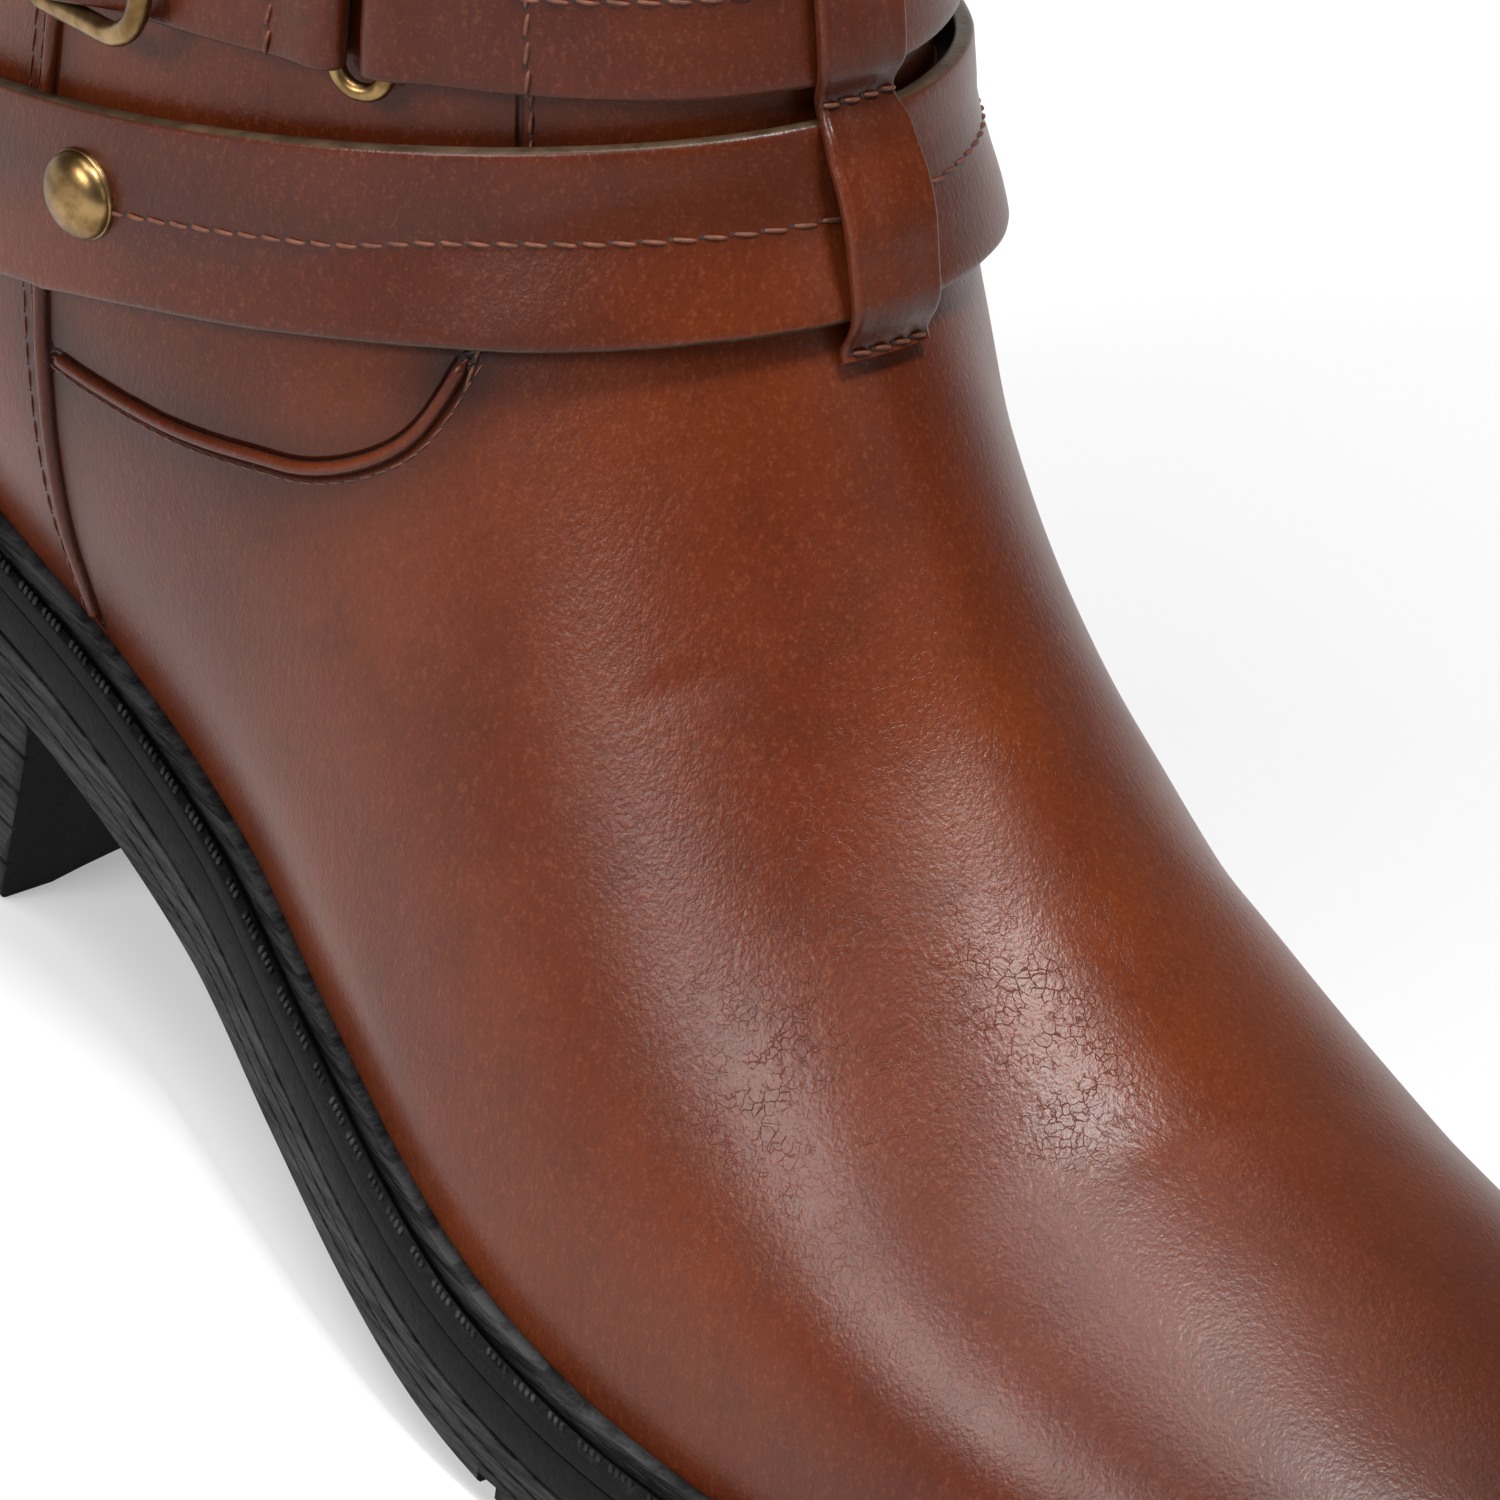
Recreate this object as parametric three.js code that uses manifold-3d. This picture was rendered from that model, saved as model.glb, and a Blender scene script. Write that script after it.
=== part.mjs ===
// A tall heeled boot for the right foot, with two ankle straps, a buckle and a front keeper.
// Millimetres. X runs from the heel to the toe, Y to the inner (big toe) side, Z up.
// The origin is the middle of the heel's flat bottom, on the floor.
import * as THREE from 'three';
import { mergeVertices } from 'three/addons/utils/BufferGeometryUtils.js';
import Module from 'manifold-3d';

const wasm = await Module();
wasm.setup();

// Driving sizes
const length = 258;
const ballWidth = 87;
const instepHeight = 120;
const heelDepth = 126;
const seatWidth = 79.5;
const ankleDepth = 108;
const ankleWidth = 76;
const calfDepth = 134;
const calfWidth = 107;
const shaftHeight = 385;
const heelHeight = 28.5;
const breastHeight = 23.7;
const toeSpring = 8;
const outsoleThickness = 6.8;
const midsoleThickness = 4.6;
const weltWidth = 4.7;
const flangeThickness = 1.9;
const ribHeight = 3.2;
const ribWidth = 1.7;
const grooveWidth = 1.0;
const wall = 2;
const insoleThickness = 3;
const gap = 0.3;
const heelLength = 58;
const heelTaper = 2.4;
const breastTilt = 11;
const breastHollow = 2.6;
const heelBevel = 0.6;
const layerPitch = 5;
const layerGroove = 0.5;
const sideGroove = 0.4;
const bandRound = 0.5;
const treadPitch = 9;
const treadWidth = 2.6;
const treadDepth = 1.4;
const strapWidth = 19.5;
const strapThickness = 1.9;
const strapEdge = 0.4;
const lowerSlant = 19.9;
const upperSlant = 12.7;
const studDiameter = 9;
const studHeight = 2.6;
const studRise = 1.3;
const linkWire = 1.8;
const linkWidth = 7.2;
const linkCorner = 1.6;
const buckleWire = 2.4;
const buckleWidth = 20;
const buckleCorner = 1.4;
const buckleBend = 6;
const prongWire = 1.8;
const tipLength = 24;
const keeperWidth = 9.2;
const keeperThickness = 1.8;
const keeperEnd = 3.6;
const keeperRun = 2.6;
const keeperCrest = 0.8;
const keeperBow = 1.5;
const beadWidth = 1.8;
const beadHeight = 0.8;
const loopWall = 0.6;
const standOff = 0.5;

// Grid steps, and how far simplified faces may stray
const stations = 26;
const aroundSteps = 24;
const seamSteps = 22;
const pipingSteps = 12;
const strapSteps = 34;
const fineness = 0.06;

const strapLift = 2 * gap + beadHeight;
const bandTop = outsoleThickness + midsoleThickness;
const feather = bandTop + gap;
const slope = (degrees) => Math.tan(THREE.MathUtils.degToRad(degrees));
const heelCentre = (heelLength - breastHeight * slope(breastTilt)) / 2;

const table = (columns, rows) => rows.map((row) =>
  Object.fromEntries(columns.map((name, i) => [name, row[i]])));

// The sole's outline: half widths to the outer and inner side of the line from heel to toe,
// as shares of the ball width, at shares of the length from the heel's back.
const outline = table(['share', 'outer', 'inner'], [
  [0, 0, 0],
  [0.02, 0.152, 0.152],
  [0.06, 0.250, 0.248],
  [0.11, 0.308, 0.302],
  [0.17, 0.338, 0.325],
  [0.25, 0.350, 0.310],
  [0.35, 0.372, 0.265],
  [0.43, 0.420, 0.240],
  [0.50, 0.462, 0.252],
  [0.56, 0.484, 0.290],
  [0.62, 0.480, 0.340],
  [0.68, 0.460, 0.388],
  [0.74, 0.430, 0.420],
  [0.80, 0.382, 0.430],
  [0.86, 0.310, 0.408],
  [0.91, 0.235, 0.362],
  [0.95, 0.160, 0.300],
  [0.98, 0.085, 0.215],
  [0.995, 0.010, 0.130],
  [1, -0.045, 0.045],
]);

// The underside of the outsole, as shares of the heel's height at the back, of its height at
// the breast and of the toe spring.
const underside = table(['share', 'back', 'breast', 'spring'], [
  [0, 1, 0, 0],
  [0.10, 0.965, 0, 0],
  [0.25, 0, 1, 0],
  [0.34, 0, 0.78, 0],
  [0.44, 0, 0.47, 0],
  [0.54, 0, 0.19, 0],
  [0.62, 0, 0.04, 0],
  [0.68, 0, 0, 0],
  [0.80, 0, 0, 0],
  [0.86, 0, 0, 0.14],
  [0.93, 0, 0, 0.45],
  [1, 0, 0, 1],
]);

// Sections of the foot, from the toe to the heel's back. Each lies in the plane through a
// point of the bottom edge, at a share of the length, and a point of the ridge above it, at
// shares of the length and of the instep height. half is its half width as a share of the
// ball width, at the share "at" of its height. lift and out shape the side wall below that,
// crown the roundness above it.
const footSections = table(['station', 'ridgeX', 'ridgeZ', 'half', 'at', 'lift', 'out', 'crown'], [
  [1, 1, 0.205, 0, 0.42, 0.45, 0.8, 0.60],
  [0.988, 0.988, 0.283, 0.120, 0.42, 0.45, 0.8, 0.60],
  [0.962, 0.962, 0.325, 0.216, 0.42, 0.45, 0.8, 0.60],
  [0.925, 0.925, 0.353, 0.296, 0.42, 0.45, 0.8, 0.58],
  [0.88, 0.878, 0.381, 0.358, 0.40, 0.45, 0.8, 0.54],
  [0.82, 0.820, 0.417, 0.410, 0.36, 0.45, 0.8, 0.46],
  [0.75, 0.750, 0.466, 0.436, 0.32, 0.45, 0.8, 0.39],
  [0.68, 0.682, 0.541, 0.438, 0.29, 0.45, 0.8, 0.35],
  [0.605, 0.617, 0.638, 0.426, 0.27, 0.45, 0.8, 0.33],
  [0.525, 0.563, 0.752, 0.406, 0.29, 0.45, 0.8, 0.34],
  [0.43, 0.525, 0.850, 0.397, 0.35, 0.45, 0.8, 0.37],
  [0.31, 0.504, 0.911, 0.422, 0.41, 0.40, 0.62, 0.40],
  [0.19, 0.494, 0.946, 0.450, 0.45, 0.30, 0.45, 0.42],
  [0.08, 0.488, 0.972, 0.455, 0.48, 0.22, 0.46, 0.44],
  [0.02, 0.4835, 0.994, 0.455, 0.49, 0.12, 0.52, 0.46],
  [0, 0.481, 1.010, 0.456, 0.49, 0.04, 0.55, 0.47],
]);

// Sections above the heel seat, up the back seam. rise is the height of the back point over
// the heel seat as a share of what is left up to the collar, back its place as a share of the
// length. seat and calf say how much of the section's depth and width comes from the heel's
// girth and the calf's, the rest being the ankle's. front is the height of the front point
// over the back point as a share of the instep height.
const shaftSections = table(['rise', 'back', 'seat', 'calf', 'front', 'at', 'crown'], [
  [0.046, -0.010, 1, 0, 0.562, 0.49, 0.47],
  [0.088, -0.013, 0.95, 0, 0.483, 0.49, 0.48],
  [0.140, -0.002, 0.66, 0, 0.396, 0.48, 0.49],
  [0.194, 0.014, 0.28, 0, 0.328, 0.48, 0.50],
  [0.254, 0.023, 0.05, 0, 0.258, 0.48, 0.52],
  [0.335, 0.019, 0, 0.02, 0.192, 0.48, 0.54],
  [0.440, 0, 0, 0.18, 0.133, 0.48, 0.55],
  [0.565, -0.027, 0, 0.47, 0.083, 0.48, 0.55],
  [0.705, -0.050, 0, 0.76, 0.033, 0.48, 0.55],
  [0.845, -0.062, 0, 0.94, 0.008, 0.48, 0.55],
  [1, -0.064, 0, 1, 0, 0.48, 0.55],
]);

// Smooth curve through the points (xs, ys) at x, each slope taken from its neighbours.
function smooth(xs, ys, x) {
  const last = xs.length - 1;
  const at = THREE.MathUtils.clamp(x, xs[0], xs[last]);
  let i = 0;
  while (i < last - 1 && at > xs[i + 1]) i += 1;
  const slope = (j) => {
    const before = Math.max(j - 1, 0);
    const after = Math.min(j + 1, last);
    return (ys[after] - ys[before]) / (xs[after] - xs[before]);
  };
  const span = xs[i + 1] - xs[i];
  const t = (at - xs[i]) / span;
  const rise = ys[i + 1] - ys[i];
  const a = slope(i) * span;
  const b = slope(i + 1) * span;
  return ys[i] + t * (a + t * (3 * rise - 2 * a - b + t * (a + b - 2 * rise)));
}

// A share of the length as an angle, so that both ends of the outline come out round.
const toAngle = (share) => Math.acos(1 - 2 * THREE.MathUtils.clamp(share, 0, 1));
const outlineAngles = outline.map((row) => toAngle(row.share));
const outerShares = outline.map((row) => row.outer);
const innerShares = outline.map((row) => row.inner);

function outlineAt(x) {
  const angle = toAngle(x / length);
  const outer = ballWidth * smooth(outlineAngles, outerShares, angle);
  const inner = ballWidth * smooth(outlineAngles, innerShares, angle);
  return { half: Math.max((outer + inner) / 2, 0), shift: (inner - outer) / 2 };
}

const undersideX = underside.map((row) => row.share * length);
const undersideZ = underside.map((row) =>
  row.back * heelHeight + row.breast * breastHeight + row.spring * toeSpring);
const floorTo = (x) => Math.max(smooth(undersideX, undersideZ, x), 0);

// A closed mesh from its corner points and triangles.
function solid(points, triangles) {
  const geometry = new THREE.BufferGeometry();
  geometry.setAttribute('position', new THREE.Float32BufferAttribute(points.flat(), 3));
  geometry.setIndex(triangles.flat());
  return mergeVertices(geometry, 1e-3);
}

function toManifold(geometry) {
  const bare = geometry.clone();
  bare.deleteAttribute('normal');
  bare.deleteAttribute('uv');
  const merged = mergeVertices(bare, 1e-3);
  return new wasm.Manifold(new wasm.Mesh({
    numProp: 3,
    vertProperties: new Float32Array(merged.attributes.position.array),
    triVerts: new Uint32Array(merged.index.array),
  }));
}

function fromManifold(body) {
  const mesh = body.simplify(fineness).getMesh();
  const geometry = new THREE.BufferGeometry();
  geometry.setAttribute('position', new THREE.BufferAttribute(new Float32Array(mesh.vertProperties), 3));
  geometry.setIndex(new THREE.BufferAttribute(new Uint32Array(mesh.triVerts), 1));
  return geometry;
}

// Skins a closed tube of rings, all with as many points. The ends are capped by strips
// between a ring's first and second half, or joined to each other where the tube is a loop.
function skin(rings, { loop = false, strips = false } = {}) {
  const count = rings[0].length;
  const triangles = [];
  const turns = loop ? rings.length : rings.length - 1;
  for (let i = 0; i < turns; i += 1) {
    const a = i * count;
    const b = ((i + 1) % rings.length) * count;
    for (let j = 0; j < count; j += 1) {
      const k = (j + 1) % count;
      triangles.push([a + j, a + k, b + k], [a + j, b + k, b + j]);
    }
  }
  if (!loop) {
    const cap = (base, flip) => {
      const push = (p, q, r) => triangles.push(flip ? [base + p, base + r, base + q] : [base + p, base + q, base + r]);
      if (!strips) {
        for (let j = 1; j < count - 1; j += 1) push(0, j + 1, j);
        return;
      }
      for (let j = 0; j < count / 2; j += 1) {
        const far = (count - j) % count;
        const next = count - j - 1;
        if (j > 0) push(j, far, j + 1);
        if (next > j + 1) push(j + 1, far, next);
      }
    };
    cap(0, false);
    cap((rings.length - 1) * count, true);
  }
  const good = triangles.filter(([p, q, r]) => p !== q && q !== r && p !== r);
  return solid(rings.flat(), good);
}

// The outline as a ring of points, e outside the feather line, from the heel's back along the
// outer side to the toe and back along the inner side. height gives each point's Z from its X.
function outlineRing(e, height, steps = stations) {
  const point = (turn) => {
    const x = length * (1 - Math.cos(turn)) / 2;
    const { half, shift } = outlineAt(x);
    return [x, shift - half * Math.sign(Math.sin(turn) || 0)];
  };
  const ring = [];
  const count = 2 * steps;
  const step = 0.01;
  for (let i = 0; i < count; i += 1) {
    const turn = (i / count) * 2 * Math.PI;
    const [x, y] = point(turn);
    const before = point(turn - step);
    const after = point(turn + step);
    const run = new THREE.Vector2(after[0] - before[0], after[1] - before[1]).normalize();
    if (i === 0) run.set(0, -1);
    if (i === steps) run.set(0, 1);
    const px = x + e * run.y;
    ring.push([px, y - e * run.x, height(THREE.MathUtils.clamp(px, 0, length))]);
  }
  return ring;
}

// A layer of the sole between two heights over the underside, its edge stepped as the rows of
// its profile say: each row is a height and how far it stands outside the feather line.
function layer(profile) {
  return skin(profile.map(([height, e]) =>
    outlineRing(e, (x) => floorTo(x) + height)), { strips: true });
}

// Rows of a side profile with sharp grooves cut between flat bands.
function groovedSide(bottom, top, e, grooves, depth) {
  const rows = [[bottom, e]];
  for (let i = 1; i <= grooves; i += 1) {
    const middle = bottom + (top - bottom) * i / (grooves + 1);
    rows.push([middle - depth, e], [middle, e - depth], [middle + depth, e]);
  }
  rows.push([top, e]);
  return rows;
}

// The outsole is thin and ribbed at its side, with grooves across the tread.
function outsole() {
  const sideGrooves = 2;
  const treadStart = 0.6;
  const treadRun = 0.3;
  const side = groovedSide(0, outsoleThickness - gap, weltWidth, sideGrooves, sideGroove);
  let body = toManifold(layer(side));
  const first = treadStart * length;
  const count = Math.floor(treadRun * length / treadPitch);
  for (let i = 0; i < count; i += 1) {
    const x = first + i * treadPitch;
    const cut = new THREE.BoxGeometry(treadWidth, 2 * ballWidth, 2 * treadDepth);
    cut.translate(x, 0, floorTo(x));
    body = body.subtract(toManifold(cut));
  }
  return fromManifold(body);
}

// The midsole is a smooth band with rounded edges.
function midsole() {
  return layer([
    [outsoleThickness, weltWidth - bandRound],
    [outsoleThickness + bandRound, weltWidth],
    [bandTop - bandRound, weltWidth],
    [bandTop, weltWidth - bandRound],
  ]);
}

// The heel block narrows downwards, has a groove between its layers, and a breast that slants
// back and is hollowed between its corners.
function heelBlock() {
  const grooveRows = [];
  const layers = Math.floor((breastHeight - layerPitch / 2) / layerPitch);
  for (let i = 1; i <= layers; i += 1) {
    const z = i * layerPitch;
    grooveRows.push([z - layerGroove, 0], [z, layerGroove], [z + layerGroove, 0]);
  }
  const edge = (z) => weltWidth - heelTaper * (1 - z / heelHeight);
  const rings = [
    outlineRing(edge(0) - heelBevel, () => 0),
    outlineRing(edge(heelBevel), () => heelBevel),
  ];
  grooveRows.forEach(([z, depth]) => rings.push(outlineRing(edge(z) - depth, () => z)));
  const lastGroove = layers * layerPitch + layerGroove;
  rings.push(outlineRing(weltWidth, (x) => Math.max(floorTo(x) - gap, lastGroove + layerGroove)));
  const blank = toManifold(skin(rings, { strips: true }));

  const lean = slope(breastTilt);
  const hollowHalf = 0.3 * ballWidth;
  const face = new THREE.Shape();
  face.moveTo(0, -ballWidth);
  face.lineTo(0, -hollowHalf);
  face.quadraticCurveTo(-2 * breastHollow, 0, 0, hollowHalf);
  face.lineTo(0, ballWidth);
  face.lineTo(2 * length, ballWidth);
  face.lineTo(2 * length, -ballWidth);
  const cut = new THREE.ExtrudeGeometry(face, { depth: 3 * heelHeight, bevelEnabled: false, curveSegments: 6 });
  cut.translate(0, 0, -heelHeight);
  const shear = new THREE.Matrix4().makeShear(0, 0, 0, 0, lean, 0);
  cut.applyMatrix4(shear);
  cut.translate(heelLength - lean * breastHeight, 0, 0);
  return fromManifold(blank.subtract(toManifold(cut)));
}

// The rows of all sections in millimetres. low runs from 1 at the toe to 0 at the heel's back
// along the bottom edge, and below 0 up the back seam.
const seatZ = heelHeight + feather;
const seatHalf = seatWidth / 2;
const mix = (ankle, row, seat, calf) => ankle + row.seat * (seat - ankle) + row.calf * (calf - ankle);
const sections = [
  ...footSections.map((row) => [
    toAngle(row.station) / Math.PI, 0, row.ridgeX * length, row.ridgeZ * instepHeight,
    row.half * ballWidth, row.at, row.lift, row.out, row.crown,
  ]),
  ...shaftSections.map((row) => {
    const backX = row.back * length;
    const backZ = seatZ + row.rise * (shaftHeight - seatZ);
    return [
      -row.rise, backX, backX + mix(ankleDepth, row, heelDepth, calfDepth),
      backZ + row.front * instepHeight,
      mix(ankleWidth / 2, row, seatHalf, calfWidth / 2), row.at, 0, 0.56, row.crown,
    ];
  }),
];
const lastRow = sections.length - 1;
const seatRow = footSections.length - 1;

function rowAt(p) {
  const i = Math.min(Math.floor(p), lastRow - 1);
  const t = p - i;
  const pick = (j) => sections[THREE.MathUtils.clamp(j, 0, lastRow)];
  const [a, b, c, d] = [pick(i - 1), pick(i), pick(i + 1), pick(i + 2)];
  return b.map((value, k) => value + 0.5 * t * (c[k] - a[k]
    + t * (2 * a[k] - 5 * value + 4 * c[k] - d[k] + t * (3 * (value - c[k]) + d[k] - a[k]))));
}

const bezier = (a, b, c, d, t) => {
  const s = 1 - t;
  return s * s * s * a + 3 * s * s * t * b + 3 * s * t * t * c + t * t * t * d;
};

// A point of the upper's outside. p runs over the sections' rows, u from the bottom edge on
// the outer side (0) over the ridge (0.5) to the bottom edge on the inner side (1).
function surface(p, u) {
  const [low, backX, topX, topZ, half, at, lift, out, crown] = rowAt(p);
  const foot = p <= seatRow;
  const station = foot ? length * (1 - Math.cos(Math.PI * Math.max(low, 0))) / 2 : 0;
  const edge = foot ? outlineAt(station) : { half: 0, shift: 0 };
  const x0 = foot ? station : backX;
  const z0 = foot ? floorTo(station) + feather : seatZ - Math.min(low, 0) * (shaftHeight - seatZ);
  const dx = topX - x0;
  const dz = topZ - z0;
  const span = Math.hypot(dx, dz);
  const widest = at * span;
  const side = u <= 0.5 ? -1 : 1;
  const w = u <= 0.5 ? 2 * u : 2 - 2 * u;
  let along;
  let across;
  if (w <= 0.5) {
    along = bezier(0, lift * widest, 0.45 * widest, widest, 2 * w);
    across = bezier(edge.half, edge.half + out * (half - edge.half), half, half, 2 * w);
  } else {
    const t = 2 * w - 1;
    along = bezier(widest, widest + 0.5523 * (span - widest), span, span, t);
    across = bezier(half, half, crown * half, 0, t);
  }
  const sway = Math.max(edge.shift, 0) * 0.6;
  const shift = edge.shift + (sway - edge.shift) * along / span;
  return new THREE.Vector3(x0 + dx * along / span, shift + side * across, z0 + dz * along / span);
}

// The outward direction there. Along the toe's front and up the back seam the two sides meet,
// and it lies in the plane between them.
function normalAt(p, u) {
  const step = 0.004;
  if (p === 0) {
    const front = surface(0, 0.5).sub(surface(0, 0));
    return new THREE.Vector3(front.z, 0, -front.x).normalize();
  }
  const up = surface(Math.min(p + step, lastRow), u);
  if (p >= seatRow && (u <= 0 || u >= 1)) {
    const run = up.sub(surface(Math.min(p, lastRow - step), u));
    return new THREE.Vector3(-run.z, 0, run.x).normalize();
  }
  const run = up.sub(surface(Math.max(p - step, 0), u));
  const across = surface(p, Math.min(u + step, 1)).sub(surface(p, Math.max(u - step, 0)));
  return across.cross(run).normalize();
}

const offSurface = (p, u, off) => surface(p, u).addScaledVector(normalAt(p, u), off);

// The rows and columns at which the upper's grid is cut.
const gridRows = [];
for (let i = 0; i < seatRow; i += 0.5) gridRows.push(i);
for (let i = seatRow; i <= lastRow; i += 1) gridRows.push(i);
const gridColumns = [];
for (let j = 0; j <= aroundSteps; j += 1) gridColumns.push(j / aroundSteps);

// A closed shell between two offsets of the upper's outside, from one row to the last.
function shell(outer, inner, rows = gridRows) {
  const points = [];
  const columns = gridColumns.length;
  [outer, inner].forEach((off) => rows.forEach((p) => gridColumns.forEach((u) => {
    points.push(offSurface(p, u, off).toArray());
  })));
  const at = (side, i, j) => (side * rows.length + i) * columns + j;
  const triangles = [];
  const quad = (a, b, c, d) => triangles.push([a, b, c], [a, c, d]);
  const last = rows.length - 1;
  for (let i = 0; i < last; i += 1) {
    for (let j = 0; j < columns - 1; j += 1) {
      quad(at(0, i, j), at(0, i, j + 1), at(0, i + 1, j + 1), at(0, i + 1, j));
      quad(at(1, i, j), at(1, i + 1, j), at(1, i + 1, j + 1), at(1, i, j + 1));
    }
    if (rows[i] < seatRow) {
      quad(at(0, i, 0), at(0, i + 1, 0), at(1, i + 1, 0), at(1, i, 0));
      quad(at(0, i + 1, columns - 1), at(0, i, columns - 1), at(1, i, columns - 1), at(1, i + 1, columns - 1));
    }
  }
  for (let j = 0; j < columns - 1; j += 1) {
    quad(at(0, last, j), at(0, last, j + 1), at(1, last, j + 1), at(1, last, j));
    if (rows[0] > seatRow) quad(at(0, 0, j + 1), at(0, 0, j), at(1, 0, j), at(1, 0, j + 1));
  }
  return clean(points, triangles);
}

// Welds the points of a mesh and drops triangles that have collapsed.
function clean(points, triangles) {
  const merged = solid(points, triangles);
  const index = merged.index.array;
  const kept = [];
  for (let i = 0; i < index.length; i += 3) {
    const [a, b, c] = [index[i], index[i + 1], index[i + 2]];
    if (a !== b && b !== c && a !== c) kept.push(a, b, c);
  }
  merged.setIndex(kept);
  return merged;
}

// The solid that fills the foot out to an offset from its outside, and on below its edge.
function form(off) {
  const rows = gridRows.filter((p) => p <= seatRow + 3);
  const points = [];
  const triangles = [];
  const count = gridColumns.length + 2;
  rows.forEach((p) => {
    const row = gridColumns.map((u) => offSurface(p, u, off));
    const drop = p < seatRow ? ribHeight * 2 : 0;
    const near = row[0].clone();
    const far = row[row.length - 1].clone();
    near.z -= drop;
    far.z -= drop;
    [near, ...row, far].forEach((point) => points.push(point.toArray()));
  });
  for (let i = 0; i < rows.length - 1; i += 1) {
    for (let j = 0; j < count; j += 1) {
      const k = (j + 1) % count;
      const a = i * count;
      const b = a + count;
      triangles.push([a + j, a + k, b + k], [a + j, b + k, b + j]);
    }
  }
  const top = (rows.length - 1) * count;
  for (let j = 1; j < count / 2; j += 1) {
    const far = top + count - 1 - j;
    triangles.push([top + j - 1, top + j, far], [top + j - 1, far, far + 1]);
  }
  return toManifold(clean(points, triangles));
}

// The storm welt: a rib against the leather, a groove, and the flange that is stitched.
function stormWelt() {
  const low = bandTop + gap;
  const flangeTop = low + flangeThickness;
  const rib = gap + ribWidth;
  const groove = rib + grooveWidth;
  const blank = layer([
    [low, weltWidth],
    [flangeTop, weltWidth],
    [flangeTop, groove],
    [flangeTop - grooveWidth, groove - 0.2],
    [flangeTop - grooveWidth, rib + 0.1],
    [low + ribHeight, rib],
  ]);
  return fromManifold(toManifold(blank).subtract(form(gap)));
}

// The insole lies inside the upper's wall, on the midsole.
function insole() {
  const edge = -wall - 3 * gap;
  return layer([[feather, edge], [feather + insoleThickness, edge]]);
}

// A tube along points that lie near a plane, its sections square to the path.
function tube(points, normal, radius, sides, loop) {
  const rings = points.map((point, i) => {
    const before = points[loop ? (i + points.length - 1) % points.length : Math.max(i - 1, 0)];
    const after = points[loop ? (i + 1) % points.length : Math.min(i + 1, points.length - 1)];
    const run = after.clone().sub(before).normalize();
    const side = normal.clone().cross(run).normalize();
    const rise = run.clone().cross(side);
    const ring = [];
    for (let k = 0; k < sides; k += 1) {
      const turn = (k / sides) * 2 * Math.PI;
      ring.push(point.clone().addScaledVector(side, radius * Math.cos(turn))
        .addScaledVector(rise, radius * Math.sin(turn)).toArray());
    }
    return ring;
  });
  return skin(rings, { loop });
}

// A place on the upper where the side view shows x and z, on the outer (-1) or inner (1) side.
function onSide(x, z, side) {
  const over = (p) => {
    const low = surface(p, 0);
    const top = surface(p, 0.5);
    return (top.x - low.x) * (z - low.z) - (top.z - low.z) * (x - low.x);
  };
  let [a, b] = [0.01, lastRow];
  for (let i = 0; i < 40; i += 1) {
    const middle = (a + b) / 2;
    if (over(middle) > 0) a = middle;
    else b = middle;
  }
  const p = (a + b) / 2;
  const low = surface(p, 0);
  const span = surface(p, 0.5).sub(low);
  const share = ((x - low.x) * span.x + (z - low.z) * span.z) / (span.x ** 2 + span.z ** 2);
  [a, b] = [0, 0.5];
  for (let i = 0; i < 30; i += 1) {
    const middle = (a + b) / 2;
    const point = surface(p, middle).sub(low);
    const here = (point.x * span.x + point.z * span.z) / (span.x ** 2 + span.z ** 2);
    if (here < share) a = middle;
    else b = middle;
  }
  return { p, u: side < 0 ? a : 1 - a };
}

// A raised bead along a path in the side view, lying on the upper.
function bead(path, side) {
  const half = beadWidth / 2;
  const spots = path.map(([x, z]) => {
    const { p, u } = onSide(x, z, side);
    return { point: surface(p, u), normal: normalAt(p, u) };
  });
  const rings = spots.map(({ point, normal }, i) => {
    const before = spots[Math.max(i - 1, 0)].point;
    const after = spots[Math.min(i + 1, spots.length - 1)].point;
    const across = after.clone().sub(before).cross(normal).normalize();
    const rows = [[-1, 0], [-0.85, 0.6], [-0.35, 1], [0.35, 1], [0.85, 0.6], [1, 0]];
    return rows.map(([share, rise]) => point.clone().addScaledVector(across, share * half)
      .addScaledVector(normal, gap + rise * beadHeight).toArray());
  });
  return skin(rings);
}

// A smooth path through a few rows, at even steps.
function pathThrough(rows, steps) {
  const keys = rows.map((row, i) => i);
  const path = [];
  for (let i = 0; i <= steps; i += 1) {
    const t = (i / steps) * (rows.length - 1);
    path.push([0, 1].map((k) => smooth(keys, rows.map((row) => row[k]), t)));
  }
  return path;
}

// The side seam in the side view: places along the length at heights over the heel seat, as
// shares of the length and of the shaft above the seat.
const seamRows = table(['rise', 'x'], [
  [0, 0.249],
  [0.03, 0.248],
  [0.065, 0.241],
  [0.10, 0.232],
  [0.14, 0.226],
  [0.18, 0.222],
  [0.23, 0.217],
  [0.33, 0.209],
  [0.48, 0.201],
  [0.70, 0.197],
  [0.985, 0.197],
]);

function sideSeam(side) {
  const rows = seamRows.map((row) => [row.x * length, seatZ + row.rise * (shaftHeight - seatZ)]);
  return bead(pathThrough(rows, seamSteps), side);
}

// The rolled edge of the vamp, which dips below the lower strap.
const vampRows = table(['x', 'z'], [
  [0.2425, 0.600],
  [0.268, 0.607],
  [0.318, 0.628],
  [0.361, 0.656],
  [0.385, 0.672],
  [0.408, 0.703],
  [0.424, 0.745],
  [0.430, 0.812],
]);

function vampPiping(side) {
  const rows = vampRows.map((row) => [row.x * length, row.z * instepHeight]);
  return bead(pathThrough(rows, pipingSteps), side);
}

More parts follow.
